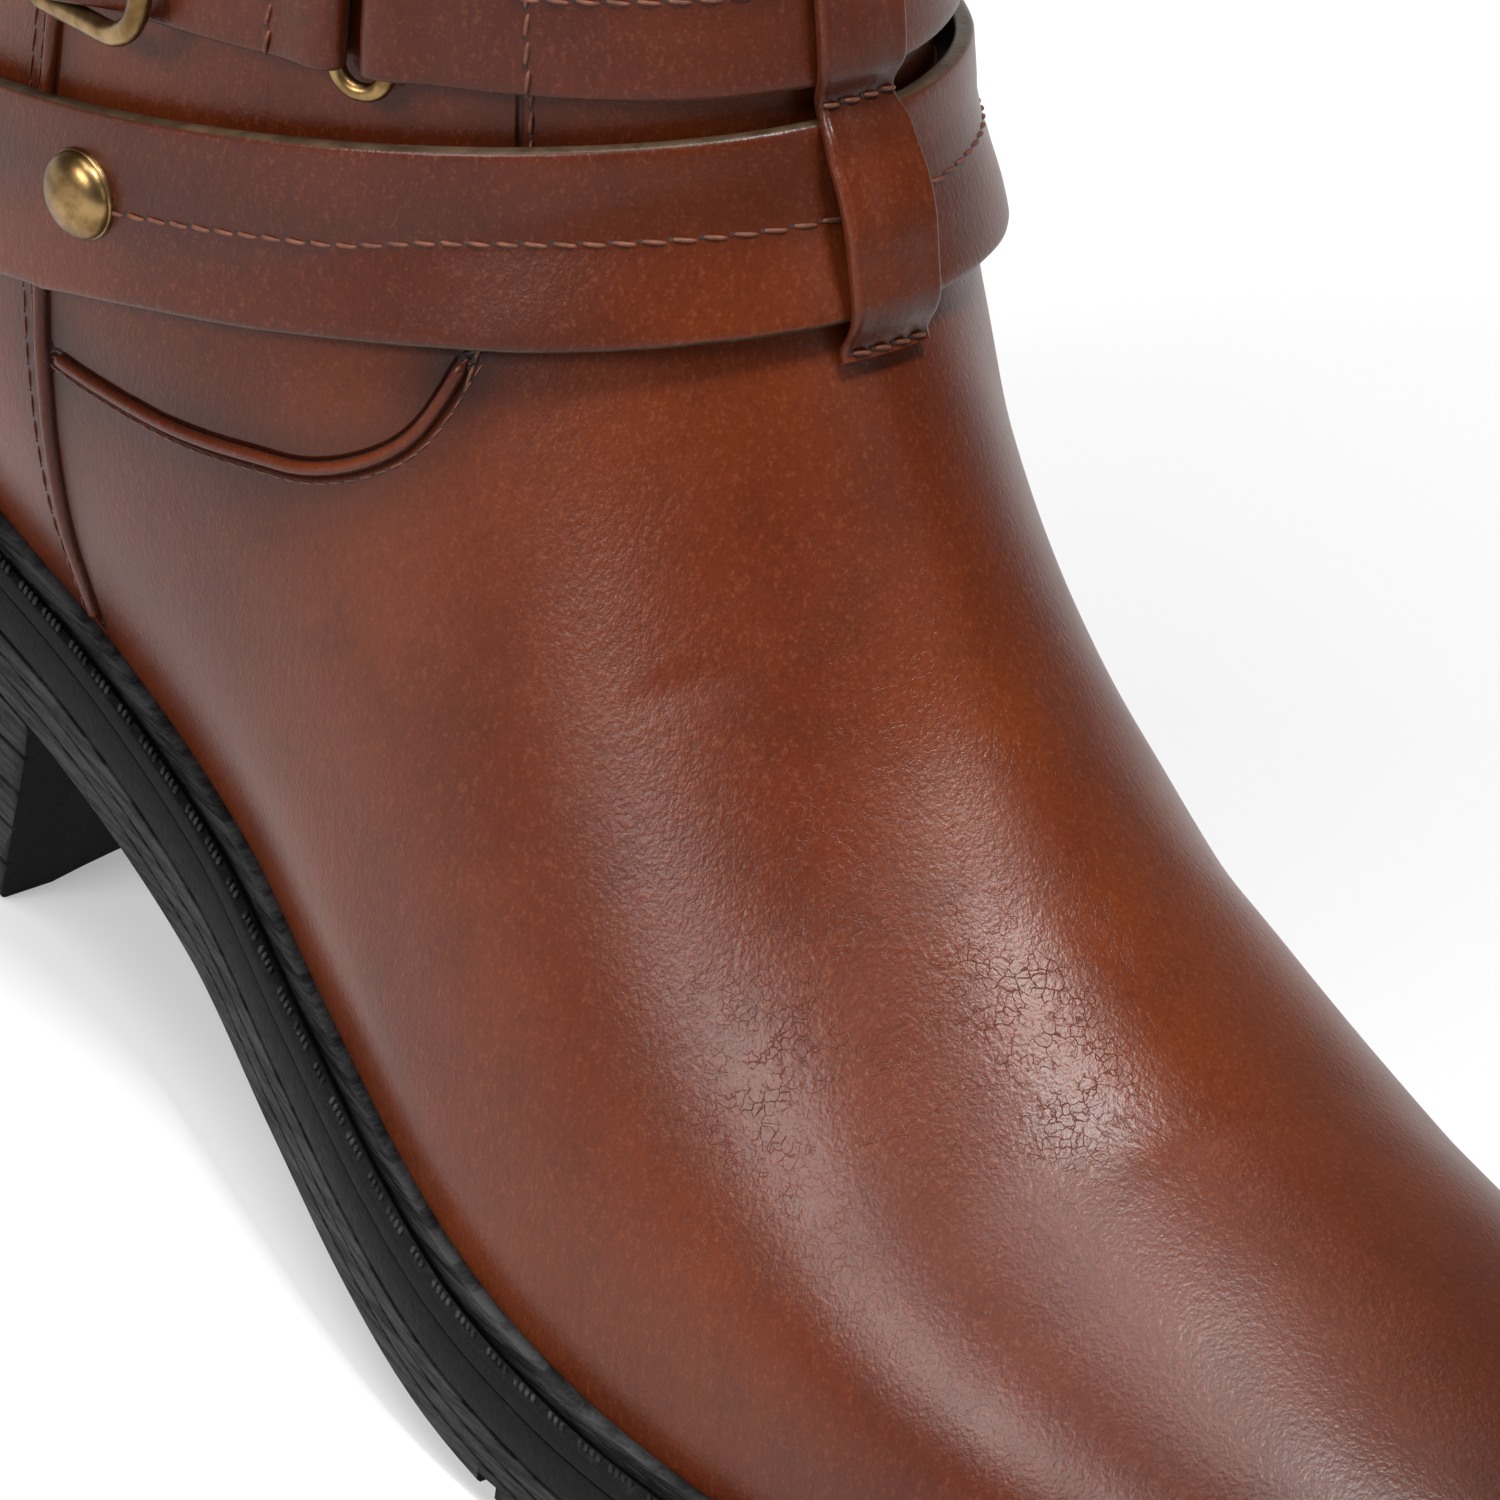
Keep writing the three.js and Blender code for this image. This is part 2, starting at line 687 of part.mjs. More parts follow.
// The planes of the two straps, each slanting up to the front.
const lowerPlane = { x: 0.25 * length, z: 0.7667 * instepHeight, rise: slope(lowerSlant) };
const upperPlane = { x: 0.25 * length, z: 1.0315 * instepHeight, rise: slope(upperSlant) };
const above = (point, plane) =>
  (point.z - plane.z - plane.rise * (point.x - plane.x)) / Math.hypot(1, plane.rise);

// The row of the upper at which the line u stands a distance above a strap's plane.
function rowAbove(u, plane, distance) {
  let [a, b] = [2, lastRow];
  for (let i = 0; i < 34; i += 1) {
    const middle = (a + b) / 2;
    if (above(surface(middle, u), plane) < distance) a = middle;
    else b = middle;
  }
  return (a + b) / 2;
}

const wrap = (u) => u - Math.floor(u);

function onStrap(turn, plane, distance, off) {
  const u = wrap(turn);
  return offSurface(rowAbove(u, plane, distance), u, off);
}

// The turn that lies a length along the strap's middle from another turn.
function turnAlong(turn, plane, distance) {
  const step = distance < 0 ? -0.002 : 0.002;
  let at = turn;
  let here = onStrap(at, plane, 0, strapLift);
  let left = Math.abs(distance);
  while (left > 0) {
    const next = onStrap(at + step, plane, 0, strapLift);
    const run = next.distanceTo(here);
    if (run >= left) return at + step * left / run;
    left -= run;
    at += step;
    here = next;
  }
  return at;
}

// A strap round the upper. lift gives its clearance from the leather and half its half width.
function strap(plane, turns, lift, half, loop = false) {
  const rings = turns.map((turn) => {
    const under = lift(turn);
    const over = under + strapThickness;
    const side = half(turn);
    const rows = [
      [-side, under], [0, under], [side, under], [side, over - strapEdge],
      [side - strapEdge, over], [0, over], [strapEdge - side, over], [-side, over - strapEdge],
    ];
    return rows.map(([distance, off]) => onStrap(turn, plane, distance, off).toArray());
  });
  return skin(rings, { loop });
}

const evenTurns = (from, to, steps, loop = false) =>
  Array.from({ length: loop ? steps : steps + 1 }, (_, i) => from + (to - from) * i / steps);

const halfStrap = strapWidth / 2;
const strapTop = strapLift + strapThickness;
const beadTop = gap + beadHeight;

// The lower strap closes on itself, and stands off the boot where it leaves the keeper.
const slackTurn = 0.60;
const slackWidth = 0.035;
const lowerLift = (turn) => strapLift + standOff * Math.exp(-(((turn - slackTurn) / slackWidth) ** 2));
const lowerStrap = () =>
  strap(lowerPlane, evenTurns(0, 1, strapSteps, true), lowerLift, () => halfStrap, true);

// The frame of a spot on a strap, rise over its middle: its place, and the directions along,
// across and outward.
function spotOn(turn, plane, off, rise = 0) {
  const centre = onStrap(turn, plane, rise, off);
  const across = onStrap(turn, plane, halfStrap / 2, off).sub(onStrap(turn, plane, -halfStrap / 2, off));
  const along = onStrap(turn + 0.004, plane, 0, off).sub(onStrap(turn - 0.004, plane, 0, off)).normalize();
  const outward = across.clone().cross(along).negate().normalize();
  return { centre, along, outward, across: outward.clone().cross(along).normalize() };
}

// A wire frame with rounded corners, its bars across the strap. bend rounds the corners of its
// far bar, and tilt lifts that bar.
function wireFrame(spot, halfWidth, halfHeight, corner, bend, radius, tilt) {
  const points = [];
  const corners = [[1, 1, bend], [-1, 1, corner], [-1, -1, corner], [1, -1, bend]];
  const cornerSteps = 3;
  corners.forEach(([sx, sy, round], quarter) => {
    for (let k = 0; k <= cornerSteps; k += 1) {
      const turn = (quarter + k / cornerSteps) * Math.PI / 2;
      const a = sx * (halfWidth - round) + round * Math.cos(turn);
      const b = sy * (halfHeight - round) + round * Math.sin(turn);
      points.push(spot.centre.clone().addScaledVector(spot.along, a)
        .addScaledVector(spot.across, b).addScaledVector(spot.outward, tilt * a / halfWidth));
    }
  });
  return tube(points, spot.outward, radius, 8, true);
}

// A straight round bar, to cut the hole in a strap's end or to be its loop.
function barAt(spot, a, off, radius, halfHeight) {
  const centre = spot.centre.clone().addScaledVector(spot.along, a).addScaledVector(spot.outward, off);
  const ends = [-1, 1].map((end) => centre.clone().addScaledVector(spot.across, end * halfHeight));
  return toManifold(tube(ends, spot.outward, radius, 12, false));
}

// The link joins the short strap from the buckle to the long strap round the ankle.
const linkTurn = 0.347;
const linkLoop = linkWire / 2 + gap + loopWall;
const linkOff = linkLoop + 2 * gap;
const linkSpot = spotOn(linkTurn, upperPlane, linkOff);
const linkHalf = (linkWidth - linkWire) / 2;
const linkHeight = halfStrap + linkCorner + gap;

// The buckle, hinged on the long strap's other end.
const buckleTurn = 0.267;
const buckleLoop = buckleWire / 2 + gap + loopWall;
const hingeOff = buckleLoop + beadTop + gap;
const frontOff = strapTop + 3 * gap + buckleWire / 2;
const buckleHalf = (buckleWidth - buckleWire) / 2;
const buckleHeight = halfStrap + buckleWire / 2 + gap;
const buckleSpot = spotOn(buckleTurn, upperPlane, (hingeOff + frontOff) / 2);
const buckleTilt = (frontOff - hingeOff) / 2;
const hingeTurn = turnAlong(buckleTurn, upperPlane, -buckleHalf);
const frontTurn = turnAlong(buckleTurn, upperPlane, buckleHalf);
const overHinge = hingeOff + buckleLoop + 2 * gap;

const buckleFrame = () => wireFrame(
  buckleSpot, buckleHalf, buckleHeight, buckleCorner, buckleBend, buckleWire / 2, buckleTilt);

function prongBody(extra) {
  const at = (a, off) => buckleSpot.centre.clone().addScaledVector(buckleSpot.along, a)
    .addScaledVector(buckleSpot.outward, off);
  const rest = buckleWire / 2 + gap + prongWire / 2;
  const points = [
    at(-buckleHalf, rest - buckleTilt),
    at(0, rest),
    at(buckleHalf, rest + buckleTilt),
    at(buckleHalf + prongWire, rest + buckleTilt),
  ];
  return tube(points, buckleSpot.across, prongWire / 2 + extra, 8, false);
}

function longStrap() {
  const from = turnAlong(linkTurn, upperPlane, linkHalf);
  const to = 1 + hingeTurn;
  const turns = evenTurns(from, to, strapSteps);
  let body = toManifold(strap(upperPlane, turns, () => strapLift, () => halfStrap));
  body = body.add(barAt(linkSpot, linkHalf, 0, linkLoop, halfStrap));
  body = body.subtract(barAt(linkSpot, linkHalf, 0, linkWire / 2 + gap, strapWidth));
  body = body.add(barAt(buckleSpot, -buckleHalf, -buckleTilt, buckleLoop, halfStrap));
  body = body.subtract(barAt(buckleSpot, -buckleHalf, -buckleTilt, buckleWire / 2 + gap, strapWidth));
  return fromManifold(body.subtract(toManifold(prongBody(gap))));
}

function shortStrap() {
  const from = turnAlong(linkTurn, upperPlane, -linkHalf);
  const to = turnAlong(hingeTurn, upperPlane, -tipLength);
  const over = turnAlong(hingeTurn, upperPlane, buckleLoop + gap);
  const under = turnAlong(frontTurn, upperPlane, -buckleWire / 2 - gap);
  const past = turnAlong(hingeTurn, upperPlane, -buckleLoop - gap);
  const settled = turnAlong(hingeTurn, upperPlane, -4 * buckleLoop);
  const lift = (turn) => {
    if (turn > past) {
      const down = THREE.MathUtils.smoothstep(turn, over, under);
      return overHinge + (strapLift - overHinge) * down;
    }
    const up = THREE.MathUtils.smoothstep(turn, settled, past);
    return strapTop + gap + (overHinge - strapTop - gap) * up;
  };
  const half = (turn) => {
    const share = THREE.MathUtils.clamp((turn - to) / (settled - to), 0, 1);
    return halfStrap * Math.sqrt(Math.max(1 - (1 - share) ** 2.5, 0.06));
  };
  let body = toManifold(strap(upperPlane, evenTurns(to, from, strapSteps / 2), lift, half));
  body = body.add(barAt(linkSpot, -linkHalf, 0, linkLoop, halfStrap));
  body = body.subtract(barAt(linkSpot, -linkHalf, 0, linkWire / 2 + gap, strapWidth));
  body = body.subtract(barAt(buckleSpot, -buckleHalf, -buckleTilt, buckleLoop + gap, strapWidth));
  return fromManifold(body.subtract(toManifold(prongBody(gap))));
}

// The keeper runs up the front over both straps. Its rows are distances over the lower
// strap's plane and how much of the way out over the straps it is.
function keeper() {
  const first = above(onStrap(0.5, upperPlane, -halfStrap, 0), lowerPlane);
  const last = above(onStrap(0.5, upperPlane, halfStrap, 0), lowerPlane);
  const rows = [
    [-halfStrap - keeperEnd, 0], [-halfStrap - keeperRun, 0.03], [-halfStrap - keeperCrest, 0.75],
    [-halfStrap + keeperCrest / 2, 1], [0, 1 + keeperBow / strapTop], [halfStrap - keeperCrest, 1],
    [(halfStrap + first) / 2, 0.6], [first + keeperCrest, 1], [(first + last) / 2, 1],
    [last - keeperCrest / 2, 1], [last + keeperCrest, 0.75], [last + keeperRun, 0.03],
    [last + keeperEnd, 0],
  ];
  const shares = [-1, -0.55, 0, 0.55, 1];
  const over = strapTop + gap;
  const rings = rows.map(([distance, out]) => {
    const off = gap + out * (over - gap);
    const spots = shares.map((share) => {
      let [a, b] = [0.5, 0.5 + 0.2 * Math.sign(share)];
      for (let i = 0; i < 20; i += 1) {
        const middle = (a + b) / 2;
        if (Math.abs(onStrap(middle, lowerPlane, distance, off).y) < Math.abs(share) * keeperWidth / 2) a = middle;
        else b = middle;
      }
      return (a + b) / 2;
    });
    const inner = spots.map((u) => onStrap(u, lowerPlane, distance, off).toArray());
    const outer = spots.map((u) => onStrap(u, lowerPlane, distance, off + keeperThickness).toArray());
    return [...inner.reverse(), ...outer];
  });
  return skin(rings);
}

function studOn(turn) {
  const profile = [[0, 0], [0.5, 0], [0.5, 0.12], [0.47, 0.4], [0.38, 0.7], [0.22, 0.92], [0, 1]];
  const dome = new THREE.LatheGeometry(profile.map(([r, h]) =>
    new THREE.Vector2(r * studDiameter, h * studHeight)), 16);
  const spot = spotOn(turn, lowerPlane, strapTop + gap, studRise);
  const stand = new THREE.Quaternion().setFromUnitVectors(new THREE.Vector3(0, 1, 0), spot.outward);
  dome.applyQuaternion(stand);
  dome.translate(spot.centre.x, spot.centre.y, spot.centre.z);
  return dome;
}

const mesh = (name, geometry, material) => {
  const piece = new THREE.Mesh(geometry, material);
  piece.name = name;
  return piece;
};

const finish = (color, roughness, metalness = 0) =>
  new THREE.MeshStandardMaterial({ color, roughness, metalness });
const rubber = finish(0x1c1c1e, 0.62);
const leather = finish(0x6e3018, 0.42);
const strapLeather = finish(0x6a2d17, 0.40);
const lining = finish(0x9a7a58, 0.9);
const brass = finish(0x7d6838, 0.35, 1);

const boot = new THREE.Group();
boot.position.x = -heelCentre;
boot.add(
  mesh('heel_block', heelBlock(), rubber),
  mesh('outsole', outsole(), rubber),
  mesh('midsole', midsole(), rubber),
  mesh('storm_welt', stormWelt(), rubber),
  mesh('insole', insole(), lining),
  mesh('upper', shell(0, -wall), leather),
  mesh('side_seam_outer', sideSeam(-1), leather),
  mesh('side_seam_inner', sideSeam(1), leather),
  mesh('vamp_piping_outer', vampPiping(-1), leather),
  mesh('vamp_piping_inner', vampPiping(1), leather),
  mesh('lower_strap', lowerStrap(), strapLeather),
  mesh('long_strap', longStrap(), strapLeather),
  mesh('short_strap', shortStrap(), strapLeather),
  mesh('link', wireFrame(linkSpot, linkHalf, linkHeight, linkCorner, linkCorner, linkWire / 2, 0), brass),
  mesh('buckle', buckleFrame(), brass),
  mesh('prong', prongBody(0), brass),
  mesh('front_keeper', keeper(), strapLeather),
  mesh('stud', studOn(0.271), brass),
);

const scene = new THREE.Group();
scene.add(boot);
export default scene;
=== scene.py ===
"""A tall heeled boot for the right foot: its leather, rubber, thread and brass.

Sizes are millimetres in the modelling functions and metres in Blender. X runs from the
heel's back to the toe, Y to the inner side and Z up. The frame's origin is the middle of
the heel's flat bottom, so each finished mesh is moved back by the heel's centre.
"""
import math

import bpy
import bmesh
import numpy as np
from mathutils import Matrix, Vector


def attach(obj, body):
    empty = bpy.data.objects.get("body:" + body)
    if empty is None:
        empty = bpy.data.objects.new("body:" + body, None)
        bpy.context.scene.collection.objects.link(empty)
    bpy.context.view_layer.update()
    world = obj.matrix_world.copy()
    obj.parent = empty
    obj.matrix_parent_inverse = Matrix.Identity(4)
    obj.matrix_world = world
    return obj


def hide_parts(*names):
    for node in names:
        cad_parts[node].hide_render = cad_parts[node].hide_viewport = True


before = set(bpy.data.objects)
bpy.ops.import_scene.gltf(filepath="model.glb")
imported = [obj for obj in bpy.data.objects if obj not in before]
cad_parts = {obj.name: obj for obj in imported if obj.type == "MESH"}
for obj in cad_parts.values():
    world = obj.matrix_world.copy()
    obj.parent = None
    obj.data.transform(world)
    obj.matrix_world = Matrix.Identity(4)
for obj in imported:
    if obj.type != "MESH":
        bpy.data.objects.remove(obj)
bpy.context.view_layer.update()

MM = 0.001
WELD_DISTANCE = 2e-6

# Driving sizes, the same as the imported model's
LENGTH = 258
BALL_WIDTH = 87
INSTEP_HEIGHT = 120
HEEL_DEPTH = 126
SEAT_WIDTH = 79.5
ANKLE_DEPTH = 108
ANKLE_WIDTH = 76
CALF_DEPTH = 134
CALF_WIDTH = 107
SHAFT_HEIGHT = 385
HEEL_HEIGHT = 28.5
BREAST_HEIGHT = 23.7
TOE_SPRING = 8
OUTSOLE_THICKNESS = 6.8
MIDSOLE_THICKNESS = 4.6
WELT_WIDTH = 4.7
FLANGE_THICKNESS = 1.9
RIB_HEIGHT = 3.2
RIB_WIDTH = 1.7
GROOVE_WIDTH = 1.0
WALL = 2
INSOLE_THICKNESS = 3
GAP = 0.3
HEEL_LENGTH = 58
HEEL_TAPER = 2.4
BREAST_TILT = 11
BREAST_HOLLOW = 2.6
LAYER_PITCH = 5
TREAD_PITCH = 9
TREAD_WIDTH = 2.6
TREAD_DEPTH = 1.4
STRAP_WIDTH = 19.5
STRAP_THICKNESS = 1.9
LOWER_SLANT = 19.9
UPPER_SLANT = 12.7
STUD_DIAMETER = 9
STUD_HEIGHT = 2.6
STUD_RISE = 1.3
LINK_WIRE = 1.8
LINK_WIDTH = 7.2
LINK_CORNER = 1.6
BUCKLE_WIRE = 2.4
BUCKLE_WIDTH = 20
BUCKLE_CORNER = 1.4
BUCKLE_BEND = 6
PRONG_WIRE = 1.8
TIP_LENGTH = 24
KEEPER_WIDTH = 9.2
KEEPER_THICKNESS = 1.8
KEEPER_END = 3.6
KEEPER_BOW = 1.5
BEAD_HEIGHT = 0.8
LOOP_WALL = 0.6
STAND_OFF = 0.5
SEAM_ROLL = 1.7
PIPING_ROLL = 1.3
STITCH_PITCH = 2.8
STITCH_COVER = 0.84
STRAP_THREAD = 0.23
FINE_THREAD = 0.13
WELT_STITCH_PITCH = 4.6

BAND_TOP = OUTSOLE_THICKNESS + MIDSOLE_THICKNESS
FEATHER = BAND_TOP + GAP
SEAT_Z = HEEL_HEIGHT + FEATHER
STRAP_LIFT = 2 * GAP + BEAD_HEIGHT
STRAP_TOP = STRAP_LIFT + STRAP_THICKNESS
HALF_STRAP = STRAP_WIDTH / 2


def slope(degrees):
    return math.tan(math.radians(degrees))


HEEL_CENTRE = (HEEL_LENGTH - BREAST_HEIGHT * slope(BREAST_TILT)) / 2
ORIGIN = np.array([HEEL_CENTRE, 0, 0])


def table(names, rows):
    return {name: np.array(column, float) for name, column in zip(names.split(), zip(*rows))}


# The sole's outline: half widths to the outer and inner side, as shares of the ball width
OUTLINE = table("share outer inner", [
    (0, 0, 0),
    (0.02, 0.152, 0.152),
    (0.06, 0.250, 0.248),
    (0.11, 0.308, 0.302),
    (0.17, 0.338, 0.325),
    (0.25, 0.350, 0.310),
    (0.35, 0.372, 0.265),
    (0.43, 0.420, 0.240),
    (0.50, 0.462, 0.252),
    (0.56, 0.484, 0.290),
    (0.62, 0.480, 0.340),
    (0.68, 0.460, 0.388),
    (0.74, 0.430, 0.420),
    (0.80, 0.382, 0.430),
    (0.86, 0.310, 0.408),
    (0.91, 0.235, 0.362),
    (0.95, 0.160, 0.300),
    (0.98, 0.085, 0.215),
    (0.995, 0.010, 0.130),
    (1, -0.045, 0.045),
])

# The underside, as shares of the heel's heights at its back and breast and of the toe spring
UNDERSIDE = table("share back breast spring", [
    (0, 1, 0, 0),
    (0.10, 0.965, 0, 0),
    (0.25, 0, 1, 0),
    (0.34, 0, 0.78, 0),
    (0.44, 0, 0.47, 0),
    (0.54, 0, 0.19, 0),
    (0.62, 0, 0.04, 0),
    (0.68, 0, 0, 0),
    (0.80, 0, 0, 0),
    (0.86, 0, 0, 0.14),
    (0.93, 0, 0, 0.45),
    (1, 0, 0, 1),
])

# Sections of the foot from the toe to the heel's back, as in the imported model
FOOT = table("station ridge_x ridge_z half at lift out crown", [
    (1, 1, 0.205, 0, 0.42, 0.45, 0.8, 0.60),
    (0.988, 0.988, 0.283, 0.120, 0.42, 0.45, 0.8, 0.60),
    (0.962, 0.962, 0.325, 0.216, 0.42, 0.45, 0.8, 0.60),
    (0.925, 0.925, 0.353, 0.296, 0.42, 0.45, 0.8, 0.58),
    (0.88, 0.878, 0.381, 0.358, 0.40, 0.45, 0.8, 0.54),
    (0.82, 0.820, 0.417, 0.410, 0.36, 0.45, 0.8, 0.46),
    (0.75, 0.750, 0.466, 0.436, 0.32, 0.45, 0.8, 0.39),
    (0.68, 0.682, 0.541, 0.438, 0.29, 0.45, 0.8, 0.35),
    (0.605, 0.617, 0.638, 0.426, 0.27, 0.45, 0.8, 0.33),
    (0.525, 0.563, 0.752, 0.406, 0.29, 0.45, 0.8, 0.34),
    (0.43, 0.525, 0.850, 0.397, 0.35, 0.45, 0.8, 0.37),
    (0.31, 0.504, 0.911, 0.422, 0.41, 0.40, 0.62, 0.40),
    (0.19, 0.494, 0.946, 0.450, 0.45, 0.30, 0.45, 0.42),
    (0.08, 0.488, 0.972, 0.455, 0.48, 0.22, 0.46, 0.44),
    (0.02, 0.4835, 0.994, 0.455, 0.49, 0.12, 0.52, 0.46),
    (0, 0.481, 1.010, 0.456, 0.49, 0.04, 0.55, 0.47),
])

# Sections above the heel seat, up the back seam
SHAFT = table("rise back seat calf front at crown", [
    (0.046, -0.010, 1, 0, 0.562, 0.49, 0.47),
    (0.088, -0.013, 0.95, 0, 0.483, 0.49, 0.48),
    (0.140, -0.002, 0.66, 0, 0.396, 0.48, 0.49),
    (0.194, 0.014, 0.28, 0, 0.328, 0.48, 0.50),
    (0.254, 0.023, 0.05, 0, 0.258, 0.48, 0.52),
    (0.335, 0.019, 0, 0.02, 0.192, 0.48, 0.54),
    (0.440, 0, 0, 0.18, 0.133, 0.48, 0.55),
    (0.565, -0.027, 0, 0.47, 0.083, 0.48, 0.55),
    (0.705, -0.050, 0, 0.76, 0.033, 0.48, 0.55),
    (0.845, -0.062, 0, 0.94, 0.008, 0.48, 0.55),
    (1, -0.064, 0, 1, 0, 0.48, 0.55),
])


def smooth(xs, ys, x):
    """A smooth curve through the points (xs, ys), each slope taken from its neighbours."""
    x = np.clip(x, xs[0], xs[-1])
    i = np.clip(np.searchsorted(xs, x) - 1, 0, len(xs) - 2)
    index = np.arange(len(xs))
    before = np.maximum(index - 1, 0)
    after = np.minimum(index + 1, len(xs) - 1)
    slopes = (ys[after] - ys[before]) / (xs[after] - xs[before])
    span = xs[i + 1] - xs[i]
    t = (x - xs[i]) / span
    rise = ys[i + 1] - ys[i]
    a = slopes[i] * span
    b = slopes[i + 1] * span
    return ys[i] + t * (a + t * (3 * rise - 2 * a - b + t * (a + b - 2 * rise)))


def to_angle(share):
    return np.arccos(1 - 2 * np.clip(share, 0, 1))


OUTLINE_ANGLES = to_angle(OUTLINE["share"])
UNDERSIDE_X = UNDERSIDE["share"] * LENGTH
UNDERSIDE_Z = (UNDERSIDE["back"] * HEEL_HEIGHT + UNDERSIDE["breast"] * BREAST_HEIGHT
               + UNDERSIDE["spring"] * TOE_SPRING)


def outline_at(x):
    """Half width of the outline at x, and how far its middle lies to the inner side."""
    angle = to_angle(x / LENGTH)
    outer = BALL_WIDTH * smooth(OUTLINE_ANGLES, OUTLINE["outer"], angle)
    inner = BALL_WIDTH * smooth(OUTLINE_ANGLES, OUTLINE["inner"], angle)
    return np.maximum((outer + inner) / 2, 0), (inner - outer) / 2


def floor_to(x):
    return np.maximum(smooth(UNDERSIDE_X, UNDERSIDE_Z, x), 0)


def foot_rows():
    none = np.zeros(len(FOOT["station"]))
    return np.stack([
        to_angle(FOOT["station"]) / math.pi, none, FOOT["ridge_x"] * LENGTH,
        FOOT["ridge_z"] * INSTEP_HEIGHT, FOOT["half"] * BALL_WIDTH,
        FOOT["at"], FOOT["lift"], FOOT["out"], FOOT["crown"],
    ], 1)


def shaft_rows():
    def mix(ankle, seat, calf):
        return ankle + SHAFT["seat"] * (seat - ankle) + SHAFT["calf"] * (calf - ankle)

    none = np.zeros(len(SHAFT["rise"]))
    back_x = SHAFT["back"] * LENGTH
    back_z = SEAT_Z + SHAFT["rise"] * (SHAFT_HEIGHT - SEAT_Z)
    return np.stack([
        -SHAFT["rise"], back_x, back_x + mix(ANKLE_DEPTH, HEEL_DEPTH, CALF_DEPTH),
        back_z + SHAFT["front"] * INSTEP_HEIGHT,
        mix(ANKLE_WIDTH / 2, SEAT_WIDTH / 2, CALF_WIDTH / 2),
        SHAFT["at"], none, none + 0.56, SHAFT["crown"],
    ], 1)


SECTIONS = np.concatenate([foot_rows(), shaft_rows()])
LAST_ROW = len(SECTIONS) - 1
SEAT_ROW = len(FOOT["station"]) - 1


def row_at(p):
    """The section at a row between whole ones, on smooth curves through its neighbours."""
    i = np.clip(np.floor(p).astype(int), 0, LAST_ROW - 1)
    t = (p - i)[..., None]
    a, b, c, d = (SECTIONS[np.clip(i + k, 0, LAST_ROW)] for k in (-1, 0, 1, 2))
    row = b + 0.5 * t * (c - a + t * (2 * a - 5 * b + 4 * c - d + t * (3 * (b - c) + d - a)))
    return np.moveaxis(row, -1, 0)


def bezier(a, b, c, d, t):
    s = 1 - t
    return s ** 3 * a + 3 * s * s * t * b + 3 * s * t * t * c + t ** 3 * d


def surface(p, u):
    """Points of the upper's outside. p runs over the sections, u round from the bottom edge
    on the outer side (0) over the ridge (0.5) to the inner side (1)."""
    p, u = np.broadcast_arrays(np.asarray(p, float), np.asarray(u, float))
    low, back_x, top_x, top_z, half, at, lift, out, crown = row_at(p)
    foot = p <= SEAT_ROW
    station = np.where(foot, LENGTH * (1 - np.cos(np.pi * np.maximum(low, 0))) / 2, 0)
    edge_half, edge_shift = outline_at(station)
    edge_half = np.where(foot, edge_half, 0)
    edge_shift = np.where(foot, edge_shift, 0)
    x0 = np.where(foot, station, back_x)
    back_z = SEAT_Z - np.minimum(low, 0) * (SHAFT_HEIGHT - SEAT_Z)
    z0 = np.where(foot, floor_to(station) + FEATHER, back_z)
    dx = top_x - x0
    dz = top_z - z0
    span = np.hypot(dx, dz)
    widest = at * span
    w = np.where(u <= 0.5, 2 * u, 2 - 2 * u)
    wall = np.clip(2 * w, 0, 1)
    roof = np.clip(2 * w - 1, 0, 1)
    along = np.where(
        w <= 0.5,
        bezier(0, lift * widest, 0.45 * widest, widest, wall),
        bezier(widest, widest + 0.5523 * (span - widest), span, span, roof))
    across = np.where(
        w <= 0.5,
        bezier(edge_half, edge_half + out * (half - edge_half), half, half, wall),
        bezier(half, half, crown * half, 0, roof))
    shift = edge_shift + (np.maximum(edge_shift, 0) * 0.6 - edge_shift) * along / span
    side = np.where(u <= 0.5, -1, 1)
    return np.stack([x0 + dx * along / span, shift + side * across, z0 + dz * along / span], -1)


def unit(v):
    return v / np.maximum(np.linalg.norm(v, axis=-1, keepdims=True), 1e-9)


def normal_at(p, u, step=0.004):
    """Outward directions, in the middle plane along the toe's front and up the back seam."""
    p, u = np.broadcast_arrays(np.asarray(p, float), np.asarray(u, float))
    up = surface(np.minimum(p + step, LAST_ROW), u)
    run = up - surface(np.maximum(p - step, 0), u)
    across = surface(p, np.minimum(u + step, 1)) - surface(p, np.maximum(u - step, 0))
    normal = unit(np.cross(across, run))
    front = surface(0.0, 0.5) - surface(0.0, 0.0)
    toe = unit(np.array([front[2], 0, -front[0]]))
    normal = np.where((p == 0)[..., None], toe, normal)
    back = up - surface(np.minimum(p, LAST_ROW - step), u)
    seam = unit(np.stack([-back[..., 2], 0 * back[..., 0], back[..., 0]], -1))
    on_seam = (p >= SEAT_ROW) & ((u <= 0) | (u >= 1))
    return np.where(on_seam[..., None], seam, normal)


def off_surface(p, u, off):
    return surface(p, u) + normal_at(p, u) * np.asarray(off, float)[..., None]


def bisect(low, high, rounds, before):
    """Halves the spans from low to high, towards the places where before turns false."""
    for _ in range(rounds):
        middle = (low + high) / 2
        short = before(middle)
        low = np.where(short, middle, low)
        high = np.where(short, high, middle)
    return low, high


